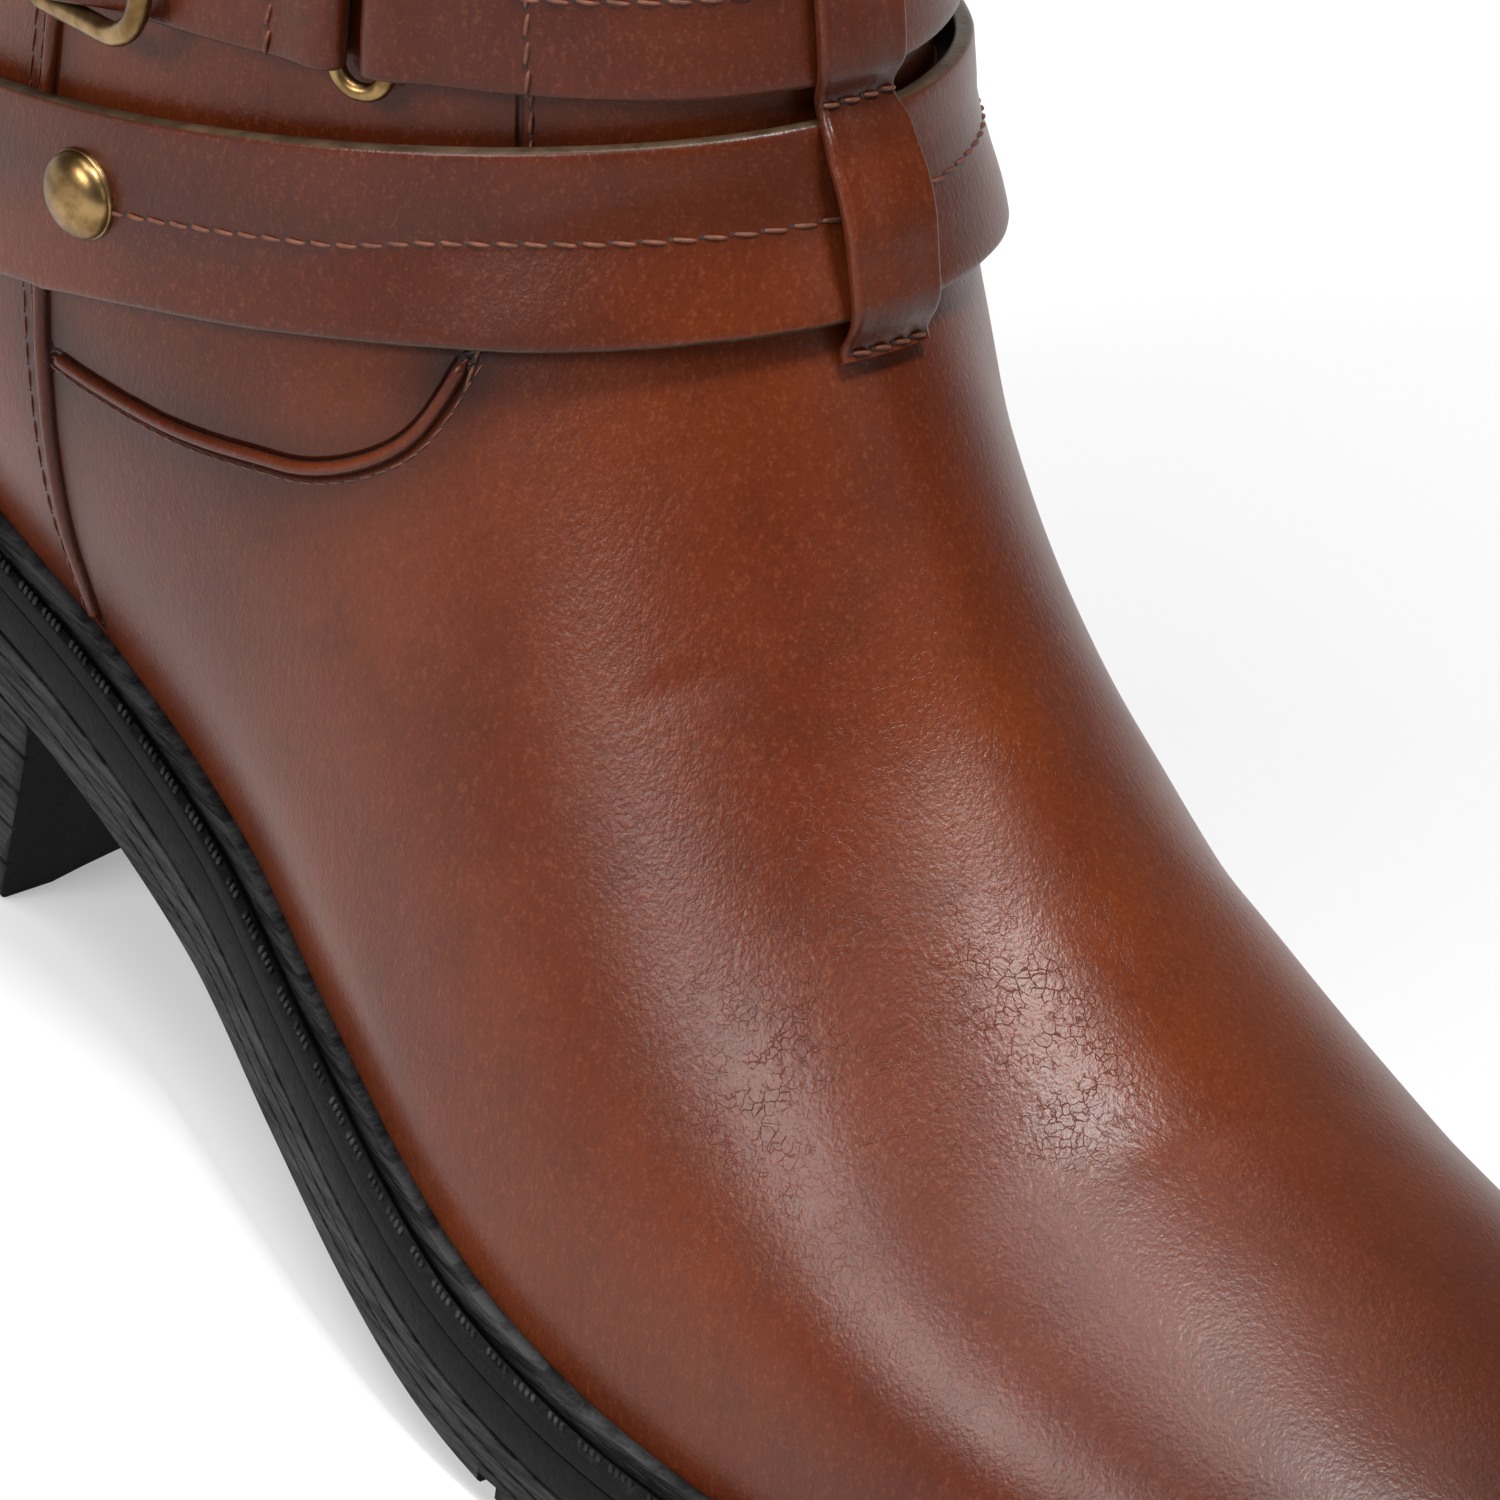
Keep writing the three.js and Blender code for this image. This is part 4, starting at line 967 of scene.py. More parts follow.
def upper():
    """The leather outside with its creases, the lining, and the rims at the collar and below."""
    wide = UPPER_COLUMNS + 1
    p = even_rows(UPPER_ROWS, lambda at: np.interp(at, *ROW_DENSITY))
    grid_p, grid_u = np.meshgrid(p, np.linspace(0, 1, wide), indexing="ij")
    base = surface(grid_p, grid_u).reshape(-1, 3)
    normals = normal_at(grid_p, grid_u).reshape(-1, 3)
    outside = base + normals * relief(base, normals)[:, None]
    coarse = (slice(None, None, LINING_STEP), slice(None, None, LINING_STEP))
    inside = off_surface(grid_p[coarse], grid_u[coarse], np.full(grid_p[coarse].shape, -WALL))
    few_rows, few = inside.shape[:2]
    shift = UPPER_ROWS * wide
    outer_faces = grid_faces(UPPER_ROWS, wide).tolist()
    inner_faces = (grid_faces(few_rows, few, flip=True) + shift).tolist()
    rim = []
    last = (UPPER_ROWS - 1) * wide
    last_in = shift + (few_rows - 1) * few
    for j in range(few - 1):
        fine = [last + LINING_STEP * j + k for k in range(LINING_STEP + 1)]
        rim.append(fine + [last_in + j + 1, last_in + j])
    for i in range(few_rows - 1):
        if p[LINING_STEP * i] >= SEAT_ROW:
            break
        near = [(LINING_STEP * i + k) * wide for k in range(LINING_STEP + 1)]
        far = [n + UPPER_COLUMNS for n in near]
        rim.append(near + [shift + (i + 1) * few, shift + i * few])
        rim.append((far + [shift + (i + 1) * few + few - 1, shift + i * few + few - 1])[::-1])
    points = np.concatenate([outside, inside.reshape(-1, 3)])
    groove, seams_dark = seam_fields(base)
    plain = np.zeros(len(points) - len(base))
    indices = [0] * len(outer_faces) + [1] * len(inner_faces) + [0] * len(rim)
    make_piece(
        "upper_skin", points, outer_faces + inner_faces + rim, ("leather", LEATHER, LINING),
        ("upper",), weld=True, indices=indices,
        groove=np.concatenate([groove, plain + FAR_AWAY]),
        burnish=np.concatenate([upper_burnish(base, seams_dark), plain]),
        crackle=np.concatenate([upper_cracks(base), plain]))


def bead(name, rows, side, steps, node, width, height):
    """A rounded roll along a seam."""
    points, normals = seam(rows, side, steps)
    across = unit(np.cross(unit(np.gradient(points, axis=0)), normals))
    turn = np.linspace(0, np.pi, 9)
    share = np.concatenate([[-1], -np.cos(turn), [1]])
    rise = np.concatenate([[-0.5], np.sin(turn) ** 0.8 * height, [-0.5]])
    rings = (points[:, None] + across[:, None] * (share * width / 2)[None, :, None]
             + normals[:, None] * rise[None, :, None])
    ends = np.minimum(np.arange(steps), np.arange(steps)[::-1])
    fade = np.clip(ends / 3, 0.35, 1)[:, None, None]
    rings = points[:, None] + (rings - points[:, None]) * fade
    # Darker roll: burnish overall, with painted shade down its flanks and at its foot
    burnish = np.broadcast_to(np.concatenate([[0.9], 0.75 - 0.5 * np.sin(turn), [0.9]]), rings.shape[:2])
    make_piece(name, rings, skin_faces(steps, len(share)), ("leather", LEATHER), (node,), sharp=60,
               groove=np.full(rings.shape[:2], FAR_AWAY), burnish=burnish, crackle=np.zeros(rings.shape[:2]))


def seams():
    for side, word in ((-1, "outer"), (1, "inner")):
        bead("side_roll_" + word, SIDE_SEAM, side, 260, "side_seam_" + word, SEAM_ROLL, 0.95)
        bead("vamp_roll_" + word, VAMP_SEAM, side, 160, "vamp_piping_" + word, PIPING_ROLL, 0.8)
        fine_threads.line(*seam(SIDE_SEAM, side, 300, -1.7), slant=0.05)
        fine_threads.line(*seam(SIDE_SEAM, side, 300, -3.2), slant=0.05)
        fine_threads.line(*seam(VAMP_SEAM, side, 120, 1.4), pitch=1.9, slant=0.05)
        threads.line(*seam(FRONT_SEAM, side, 300, 0.85), slant=0.05)


# Straps

LOWER = {"x": 0.25 * LENGTH, "z": 0.7667 * INSTEP_HEIGHT, "rise": slope(LOWER_SLANT)}
UPPER = {"x": 0.25 * LENGTH, "z": 1.0315 * INSTEP_HEIGHT, "rise": slope(UPPER_SLANT)}


def above(point, plane):
    """How far a point lies over a strap's plane, square to it."""
    height = point[..., 2] - plane["z"] - plane["rise"] * (point[..., 0] - plane["x"])
    return height / math.hypot(1, plane["rise"])


def row_above(u, plane, distance):
    """Rows of the upper that lie a distance over a strap's plane, at the turns u."""
    u, distance = np.broadcast_arrays(np.asarray(u, float), np.asarray(distance, float))
    return sum(bisect(np.full(u.shape, 2.0), np.full(u.shape, float(LAST_ROW)), 30,
                      lambda p: above(surface(p, u), plane) < distance)) / 2


def under_strap(turn, plane, distance):
    """Rows and turns of the upper under a strap, a distance over its middle."""
    u = turn - np.floor(turn)
    return row_above(u, plane, distance), u


def on_strap(turn, plane, distance, off):
    """Points a height over the leather, at turns and distances on a strap."""
    turn, distance, off = np.broadcast_arrays(*(np.asarray(v, float) for v in (turn, distance, off)))
    return off_surface(*under_strap(turn, plane, distance), off)


def sew(turn, plane, distance, off, pitch=STITCH_PITCH):
    """Stitches through places on a strap, at heights over the leather."""
    p, u = under_strap(turn, plane, distance)
    threads.line(off_surface(p, u, off), normal_at(p, u), pitch)


class Reach:
    """Turns and lengths along the middle of a strap."""

    def __init__(self, plane):
        self.turns = np.linspace(-0.3, 1.6, 1521)
        line = on_strap(self.turns, plane, 0, STRAP_LIFT)
        self.lengths = np.concatenate([[0], np.cumsum(np.linalg.norm(np.diff(line, axis=0), axis=1))])

    def length(self, turn):
        return np.interp(turn, self.turns, self.lengths)

    def turn(self, length):
        return np.interp(length, self.lengths, self.turns)

    def along(self, turn, distance):
        return float(self.turn(self.length(turn) + distance))


UPPER_REACH = Reach(UPPER)
LOWER_REACH = Reach(LOWER)

# Where the lower strap stands off the instep, in turns
STAND_OFF_TURN = 0.60
STAND_OFF_WIDTH = 0.035


def lower_lift(turn):
    """Height of the lower strap's inside over the leather."""
    return STRAP_LIFT + STAND_OFF * spread(turn, STAND_OFF_TURN, STAND_OFF_WIDTH)


# A strap's section: its rounded edges and its crowned face with the sunk middle line
EDGE_RADIUS = 0.55
CROWN = 0.22
ROUND = 0.29
FACE_SHARES = np.linspace(0.9, -0.9, 11)
MIDDLE_DIP = 0.5
STRAP_ROWS = 340
# Stitches lie this far over a strap. The middle line ends just before the back, at this turn,
# and a line across goes this far to either side.
THREAD_RISE = 0.14
STITCH_END = 0.97
CROSS_REACH = 8.2
KEEPER_STITCH = 2.2


def strap_piece(name, plane, turns, under, over, half, loop=False):
    """A strap between two heights over the leather, its edges rounded and painted. Each row of its
    section is a share of the half width, the edge's inset and height in radii, the face, the
    crown's share and the paint."""
    radius = np.minimum(EDGE_RADIUS, (over - under) / 2.2)
    rows = [(-1, 1, 0, 0, 0, 1), (0, 0, 0, 0, 0, 1), (1, -1, 0, 0, 0, 1), (1, -ROUND, 0, ROUND, 0, 1),
            (1, 0, 0, 1, 0, 1), (1, 0, 1, -1, 0, 1), (1, -ROUND, 1, -ROUND, 0, 0.7), (1, -1, 1, 0, 0, 0)]
    for share in FACE_SHARES:
        rows.append((share, 0, 1, 0, 1 - share ** 2 - (MIDDLE_DIP if abs(share) < 0.05 else 0), 0))
    rows += [(-1, 1, 1, 0, 0, 0), (-1, ROUND, 1, -ROUND, 0, 0.7), (-1, 0, 1, -1, 0, 1),
             (-1, 0, 0, 1, 0, 1), (-1, ROUND, 0, ROUND, 0, 1)]
    share, bend, face, lift, bulge, edge = np.array(rows).T
    distance = np.where(np.abs(share) < 1, share * (half - radius)[:, None],
                        share * half[:, None] + bend * radius[:, None])
    off = np.where(face == 0, under[:, None], over[:, None]) + lift * radius[:, None] + bulge * CROWN
    points = on_strap(turns[:, None], plane, distance, off)
    # A darker band just above the middle line is painted shade where the strap bends; the waves add random
    # tone
    band = 0.35 * np.exp(-((distance - 2.0) / 4.5) ** 2)
    dark = np.clip(band + 0.2 * np.sin(turns[:, None] * 31) * np.sin(distance / 5), 0, 0.6)
    make_piece(name + "_skin", points, skin_faces(len(turns), len(rows), loop), ("strap_leather", STRAP),
               (name,), sharp=50, edge=np.broadcast_to(edge, points.shape[:2]), burnish=dark)


def strap_stitches(plane, reach, start, lift):
    """The middle line of stitches, from a turn to STITCH_END."""
    turns = np.linspace(start, STITCH_END, int(reach.length(STITCH_END) - reach.length(start)))
    p, u = under_strap(turns, plane, 0.0)
    places = off_surface(p, u, lift(turns) + THREAD_RISE)
    threads.line(eased(places), unit(eased(normal_at(p, u))))


def cross_stitches(turn):
    """A line of stitches across the upper strap."""
    across = np.linspace(-CROSS_REACH, CROSS_REACH, 12)
    sew(np.full(12, turn), UPPER, across, np.full(12, STRAP_TOP + THREAD_RISE))


# Where the hardware sits, in turns round the leg from the back by the outer side
STUD_TURN = 0.271
LINK_TURN = 0.347
BUCKLE_TURN = 0.267
BEAD_TOP = GAP + BEAD_HEIGHT
LINK_LOOP = LINK_WIRE / 2 + GAP + LOOP_WALL
LINK_OFF = LINK_LOOP + 2 * GAP
LINK_HALF = (LINK_WIDTH - LINK_WIRE) / 2
LINK_HEIGHT = HALF_STRAP + LINK_CORNER + GAP
BUCKLE_LOOP = BUCKLE_WIRE / 2 + GAP + LOOP_WALL
HINGE_OFF = BUCKLE_LOOP + BEAD_TOP + GAP
FRONT_OFF = STRAP_TOP + 3 * GAP + BUCKLE_WIRE / 2
BUCKLE_HALF = (BUCKLE_WIDTH - BUCKLE_WIRE) / 2
BUCKLE_HEIGHT = HALF_STRAP + BUCKLE_WIRE / 2 + GAP
BUCKLE_TILT = (FRONT_OFF - HINGE_OFF) / 2
HINGE_TURN = UPPER_REACH.along(BUCKLE_TURN, -BUCKLE_HALF)
FRONT_TURN = UPPER_REACH.along(BUCKLE_TURN, BUCKLE_HALF)
OVER_HINGE = HINGE_OFF + BUCKLE_LOOP + 2 * GAP
# Stitches start past the stud and cross the strap past and before the link
STUD_CLEARANCE = 4.6
LONG_CROSS = LINK_HALF + 14
SHORT_CROSS = -LINK_HALF - 5.6
TIP_ROUND = 14
LEAST_THICKNESS = 0.12
ROLL = np.sin(np.linspace(-np.pi / 2, np.pi / 2, 19))


def step_between(x, low, high):
    """A smooth step from zero at low to one at high."""
    t = np.clip((x - low) / (high - low), 0, 1)
    return t * t * (3 - 2 * t)


def rolled(distance, radius, off, under, over):
    """Widens a strap to the roll round a bar, distance away along the strap."""
    bulge = np.sqrt(np.clip(radius ** 2 - distance ** 2, 0, None))
    reach = step_between(distance, -3.2 * radius, -0.2 * radius)
    top = over + (np.maximum(off + radius, over) - over) * reach
    low = under + (np.minimum(off - radius, under) - under) * reach
    beyond = distance > 0
    return np.where(beyond, off - bulge, low), np.where(beyond, off + bulge, top)


def lower_strap():
    turns = np.arange(STRAP_ROWS) / STRAP_ROWS
    under = lower_lift(turns)
    half = np.full(len(turns), HALF_STRAP)
    strap_piece("lower_strap", LOWER, turns, under, under + STRAP_THICKNESS, half, loop=True)
    strap_stitches(LOWER, LOWER_REACH, LOWER_REACH.along(STUD_TURN, STUD_CLEARANCE),
                   lambda t: lower_lift(t) + STRAP_THICKNESS)


def long_strap():
    """The upper strap from its roll round the link, round the leg, to its roll at the buckle."""
    start = UPPER_REACH.along(LINK_TURN, LINK_HALF)
    length = UPPER_REACH.length(np.array([start, 1 + HINGE_TURN]))
    body = np.linspace(length[0] + LINK_LOOP, length[1] - BUCKLE_LOOP, 290)
    places = np.concatenate([length[0] + LINK_LOOP * ROLL[:-1], body, length[1] + BUCKLE_LOOP * ROLL[1:]])
    under = np.full(len(places), STRAP_LIFT, float)
    over = under + STRAP_THICKNESS
    low, high = rolled(length[0] - places, LINK_LOOP, LINK_OFF, under, over)
    low2, high2 = rolled(places - length[1], BUCKLE_LOOP, HINGE_OFF, low, high)
    near_end = places > length[1] - 4 * BUCKLE_LOOP
    under = np.where(near_end, low2, low)
    over = np.maximum(np.where(near_end, high2, high), under + LEAST_THICKNESS)
    half = np.full(len(places), HALF_STRAP)
    strap_piece("long_strap", UPPER, UPPER_REACH.turn(places), under, over, half)
    stitched = UPPER_REACH.along(LINK_TURN, LONG_CROSS)
    strap_stitches(UPPER, UPPER_REACH, stitched, lambda t: 0 * t + STRAP_TOP)
    cross_stitches(stitched)


def short_strap():
    """The piece from the link through the buckle, over its hinge bar, to its rounded tip."""
    start = UPPER_REACH.along(LINK_TURN, -LINK_HALF)
    tip = UPPER_REACH.along(HINGE_TURN, -TIP_LENGTH)
    settled = UPPER_REACH.along(HINGE_TURN, -4 * BUCKLE_LOOP)
    past = UPPER_REACH.along(HINGE_TURN, -BUCKLE_LOOP - GAP)
    over_bar = UPPER_REACH.along(HINGE_TURN, BUCKLE_LOOP + GAP)
    under_bar = UPPER_REACH.along(FRONT_TURN, -BUCKLE_WIRE / 2 - GAP)
    length = UPPER_REACH.length(np.array([tip, start]))
    nose = length[0] + (1 - np.cos(np.linspace(0.12, np.pi / 2, 20))) * TIP_ROUND
    body = np.linspace(nose[-1], length[1] - LINK_LOOP, 60)[1:]
    places = np.concatenate([nose, body, length[1] + LINK_LOOP * ROLL[1:]])
    turns = UPPER_REACH.turn(places)
    down = step_between(turns, over_bar, under_bar)
    up = step_between(turns, settled, past)
    high_part = OVER_HINGE + (STRAP_LIFT - OVER_HINGE) * down
    tail = STRAP_TOP + GAP + (OVER_HINGE - STRAP_TOP - GAP) * up
    under = np.where(turns > past, high_part, tail)
    over = under + STRAP_THICKNESS
    low, high = rolled(places - length[1], LINK_LOOP, LINK_OFF, under, over)
    near_end = places > length[1] - 4 * LINK_LOOP
    under = np.where(near_end, low, under)
    over = np.maximum(np.where(near_end, high, over), under + LEAST_THICKNESS)
    share = np.clip((places - length[0]) / TIP_ROUND, 0, 1)
    half = HALF_STRAP * np.sqrt(np.maximum(1 - (1 - share) ** 2.5, 0.05))
    strap_piece("short_strap", UPPER, turns, under, over, half)
    cross_stitches(UPPER_REACH.along(LINK_TURN, SHORT_CROSS))


def keeper_turns(distance, off, share):
    """Turns at which the keeper is a share of its half width from the middle."""
    sign = np.where(share < 0, -1, 1)
    start = np.full(np.broadcast(distance, share).shape, 0.5)
    return sum(bisect(start, start + 0.2 * sign, 18,
                      lambda turn: np.abs(on_strap(turn, LOWER, distance, off)[..., 1])
                      < np.abs(share) * KEEPER_WIDTH / 2)) / 2


# The keeper's section: shares of the half width and of the thickness, and the edge's paint
KEEPER_SECTION = np.array([
    (-0.93, 0, 0), (-0.4, 0, 0), (0, 0, 0), (0.4, 0, 0), (0.93, 0, 0), (1, 0.25, 0.5), (1.0, 0.75, 0.3),
    (0.93, 1, 0), (0.86, 1.06, 0), (0.78, 0.97, 0), (0.4, 1.0, 0), (0, 1.03, 0), (-0.4, 1.0, 0),
    (-0.78, 0.97, 0), (-0.86, 1.06, 0), (-0.93, 1, 0), (-1.0, 0.75, 0.3), (-1, 0.25, 0.5),
])


def keeper():
    """The loop over both straps at the front, sewn down over, between and under them."""
    first = float(above(on_strap(0.5, UPPER, -HALF_STRAP, 0), LOWER))
    last = float(above(on_strap(0.5, UPPER, HALF_STRAP, 0), LOWER))
    middle = (HALF_STRAP + first) / 2
    # Distances up from the lower strap's middle, and heights in shares of a strap's top
    rows = np.array([
        (-HALF_STRAP - KEEPER_END, 0), (-HALF_STRAP - 2.6, 0.04), (-HALF_STRAP - 0.9, 0.7),
        (-HALF_STRAP + 1.2, 1.10), (0, 1.14 + KEEPER_BOW / STRAP_TOP), (HALF_STRAP - 1.6, 1.10),
        (middle, 0.55), (first + 1.6, 1.02), ((first + last) / 2, 1.12), (last - 1.2, 1.05),
        (last + 0.9, 0.7), (last + 2.6, 0.04), (last + KEEPER_END, 0),
    ])
    distance = np.linspace(rows[0, 0], rows[-1, 0], 96)
    out = np.clip(smooth(rows[:, 0], rows[:, 1], distance), 0, 1.8)
    base = GAP * 0.3 + out * (STRAP_TOP + GAP)
    narrow = 1 - 0.14 * spread(distance, middle, 2.2) + 0.05 * spread(distance, 0, 7)
    share = KEEPER_SECTION[None, :, 0] * narrow[:, None]
    off = base[:, None] + KEEPER_SECTION[None, :, 1] * KEEPER_THICKNESS
    turns = keeper_turns(distance[:, None], base[:, None], share)
    points = on_strap(turns, LOWER, distance[:, None], off)
    # Painted shade where the keeper dips between the straps and tucks under at its lower end
    tuck_shade = 0.5 * spread(distance, middle, 3.0) + 0.4 * spread(distance, -HALF_STRAP - 1.5, 2.2)
    make_piece("front_keeper_skin", points, skin_faces(len(distance), len(KEEPER_SECTION)),
               ("strap_leather", STRAP), ("front_keeper",), sharp=60,
               edge=np.broadcast_to(KEEPER_SECTION[None, :, 2], points.shape[:2]),
               burnish=np.broadcast_to(tuck_shade[:, None], points.shape[:2]))
    for place in (middle, -HALF_STRAP - 3.0, last + 3.0):
        at = np.full(14, place)
        lift = np.full(14, float(np.interp(place, distance, base)) + KEEPER_THICKNESS + 0.1)
        sew(keeper_turns(at, lift, np.linspace(-0.72, 0.72, 14)), LOWER, at, lift, KEEPER_STITCH)


def spot_on(turn, plane, off, rise=0):
    """A place on a strap, rise over its middle, and the directions along, across and outward."""
    centre = on_strap(turn, plane, rise, off)
    across = on_strap(turn, plane, HALF_STRAP / 2, off) - on_strap(turn, plane, -HALF_STRAP / 2, off)
    along = unit(on_strap(turn + 0.004, plane, 0, off) - on_strap(turn - 0.004, plane, 0, off))
    outward = unit(np.cross(along, across))
    return centre, along, unit(np.cross(outward, along)), outward


def tube(path, side, rise, wide, thick, count):
    """Rings of count points round a path, with half widths to its side and up its rise."""
    turn = np.arange(count) / count * 2 * np.pi
    flat = np.cos(turn) * np.reshape(wide, (-1, 1))
    upright = np.sin(turn) * np.reshape(thick, (-1, 1))
    return path[:, None] + np.atleast_2d(side)[:, None] * flat[..., None] + rise[:, None] * upright[..., None]


def wire_frame(name, spot, half_width, half_height, corner, bend, wide, thick, tilt, node):
    """A frame with rounded corners, its section an ellipse. bend rounds its far corners."""
    centre, along, across, outward = spot
    steps = 10
    places = []
    corners = (1, 1, bend), (-1, 1, corner), (-1, -1, corner), (1, -1, bend)
    for quarter, (sx, sy, radius) in enumerate(corners):
        for k in range(steps + 1):
            turn = (quarter + k / steps) * math.pi / 2
            places.append((sx * (half_width - radius) + radius * math.cos(turn),
                           sy * (half_height - radius) + radius * math.sin(turn)))
    places = np.array(places)
    path = (centre + places[:, :1] * along + places[:, 1:] * across
            + (tilt * places[:, :1] / half_width) * outward)
    run = unit(np.roll(path, -1, 0) - np.roll(path, 1, 0))
    side = unit(np.cross(run, outward))
    rings = tube(path, side, np.cross(side, run), wide, thick, 16)
    make_piece(name, rings, skin_faces(len(path), 16, loop=True), ("brass", BRASS), (node,), sharp=60)


def link():
    wire_frame("link_ring", spot_on(LINK_TURN, UPPER, LINK_OFF), LINK_HALF, LINK_HEIGHT,
               0.95 * LINK_HALF, 0.95 * LINK_HALF, LINK_WIRE / 2, LINK_WIRE / 2, 0, "link")


# The prong from its hinge to past the front bar: shares of the frame's half width, with
# heights in shares of its rest on the bar and radii in shares of its wire's
PRONG_END = 1.22
PRONG_LIFT = np.array([-1.0, -0.55, 0.0, 0.55, 1.0, PRONG_END]), np.array([0.6, 0.9, 1.0, 1.0, 1.0, 0.6])
PRONG_TAPER = [-1, -0.9, 0.9, 1.15, PRONG_END], [1.1, 1.1, 1.0, 0.75, 0.3]


def buckle():
    """The frame, which stands at a slant over the strap, and its prong."""
    spot = spot_on(BUCKLE_TURN, UPPER, (HINGE_OFF + FRONT_OFF) / 2)
    wire_frame("buckle_frame", spot, BUCKLE_HALF, BUCKLE_HEIGHT, BUCKLE_CORNER, BUCKLE_BEND,
               BUCKLE_WIRE * 0.52, BUCKLE_WIRE * 0.46, BUCKLE_TILT, "buckle")
    centre, along, across, outward = spot
    rest = BUCKLE_WIRE / 2 + GAP + PRONG_WIRE / 2
    share = np.linspace(-1, PRONG_END, 30)
    path = (centre + (share * BUCKLE_HALF)[:, None] * along
            + (smooth(*PRONG_LIFT, share) * rest + share * BUCKLE_TILT)[:, None] * outward)
    rise = unit(np.cross(across, unit(np.gradient(path, axis=0))))
    radius = np.interp(share, *PRONG_TAPER) * PRONG_WIRE / 2
    rings = tube(path, across, rise, radius, radius, 12)
    make_piece("buckle_prong", rings[:, ::-1], skin_faces(30, 12), ("brass", BRASS), ("prong",), sharp=60)


def stud():
    """A rimmed dome on the lower strap."""
    centre, along, across, outward = spot_on(STUD_TURN, LOWER, STRAP_TOP + GAP, STUD_RISE)
    bend = np.linspace(0, math.pi / 2, 14)
    radius = np.concatenate([[0.46, 0.5, 0.5, 0.495], 0.485 * np.cos(bend)]) * STUD_DIAMETER
    height = np.concatenate([[-0.25, -0.2, 0.05, 0.10], 0.12 + 0.88 * np.sin(bend)]) * STUD_HEIGHT
    turn = np.arange(40) / 40 * 2 * np.pi
    radius[-1] = 0.05
    rings = (centre + (np.cos(turn)[None, :, None] * along + np.sin(turn)[None, :, None] * across)
             * radius[:, None, None] + height[:, None, None] * outward)
    make_piece("dome_stud", rings, skin_faces(len(radius), 40), ("brass", BRASS), ("stud",), sharp=50)


# The sole

def outline_ring(e, height, steps=150):
    """The outline e outside the feather line, from the heel's back round by the outer side."""
    def point(turn):
        x = LENGTH * (1 - np.cos(turn)) / 2
        half, shift = outline_at(x)
        return np.stack([x, shift - half * np.sign(np.round(np.sin(turn), 9))], -1)

    turn = np.arange(2 * steps) / steps * np.pi
    run = unit(point(turn + 0.01) - point(turn - 0.01))
    run[0] = (0, -1)
    run[steps] = (0, 1)
    spots = point(turn)
    x = spots[:, 0] + e * run[:, 1]
    y = spots[:, 1] - e * run[:, 0]
    return np.stack([x, y, height(np.clip(x, 0, LENGTH))], 1)


def stack(name, rings, node, slots=("rubber", RUBBER), streak=0.0, sharp=35):
    """A solid of long rings, bottom first, with both ends closed by strips."""
    count = len(rings[0])
    last = (len(rings) - 1) * count
    faces = (skin_faces(len(rings), count, caps=False)
             + strip_cap(0, count, False) + strip_cap(last, count, True))
    return make_piece(name, np.concatenate(rings), faces, slots, (node,), sharp=sharp,
                      streak=np.full(len(rings) * count, streak))


def layer(name, profile, node, **settings):
    """A level of the sole from its heights over the underside and reaches past the feather line."""
    rings = [outline_ring(e, lambda x, h=height: floor_to(x) + h) for height, e in profile]
    return stack(name, rings, node, **settings)


def grooved(bottom, top, e, heights, half, depth):
    """Rows of a side with grooves at shares of its height, each half wide to either side."""
    rows = [(bottom, e)]
    for height in heights:
        middle = bottom + (top - bottom) * height
        rows += [(middle - half, e), (middle - half * 0.4, e - depth), (middle + half * 0.4, e - depth),
                 (middle + half, e)]
    return rows + [(top, e)]


# The outsole's bevel and side grooves, and where the tread is cut, in shares of the length
TREAD_BEVEL = 0.35
SIDE_GROOVES = (0.36, 0.68)
SIDE_GROOVE_HALF = 0.2
SIDE_GROOVE_DEPTH = 0.3
TREAD_START = 0.6
TREAD_SPAN = 0.3
# A line between two of the heel's layers: heights from its middle and depths
LAYER_LINE = ((-0.32, 0), (-0.12, 0.5), (0.12, 0.5), (0.32, 0))


def outsole():
    """The runner with grooves round its side, and the tread cut across under the forefoot."""
    side = grooved(TREAD_BEVEL, OUTSOLE_THICKNESS - GAP, WELT_WIDTH, SIDE_GROOVES, SIDE_GROOVE_HALF,
                   SIDE_GROOVE_DEPTH)
    piece = layer("outsole_tread", [(0, WELT_WIDTH - TREAD_BEVEL)] + side, "outsole", streak=1.0)
    count = int(TREAD_SPAN * LENGTH / TREAD_PITCH)
    points = []
    for i in range(count):
        x = TREAD_START * LENGTH + i * TREAD_PITCH
        z = float(floor_to(x))
        low = (x - TREAD_WIDTH / 2, -BALL_WIDTH, z - TREAD_DEPTH)
        high = (x + TREAD_WIDTH / 2, BALL_WIDTH, z + TREAD_DEPTH)
        points.append(box_points(low, high))
    cut(piece, bare_object("tread_cut", np.concatenate(points), copies(BOX_FACES, 8, count)))


def midsole():
    """The smooth band over the outsole, its edges rounded."""
    layer("midsole_band", [
        (OUTSOLE_THICKNESS - 0.1, WELT_WIDTH - 0.35), (OUTSOLE_THICKNESS + 0.15, WELT_WIDTH - 0.1),
        (OUTSOLE_THICKNESS + 0.45, WELT_WIDTH), (BAND_TOP - 0.4, WELT_WIDTH),
        (BAND_TOP - 0.1, WELT_WIDTH - 0.12), (BAND_TOP, WELT_WIDTH - 0.4)], "midsole")


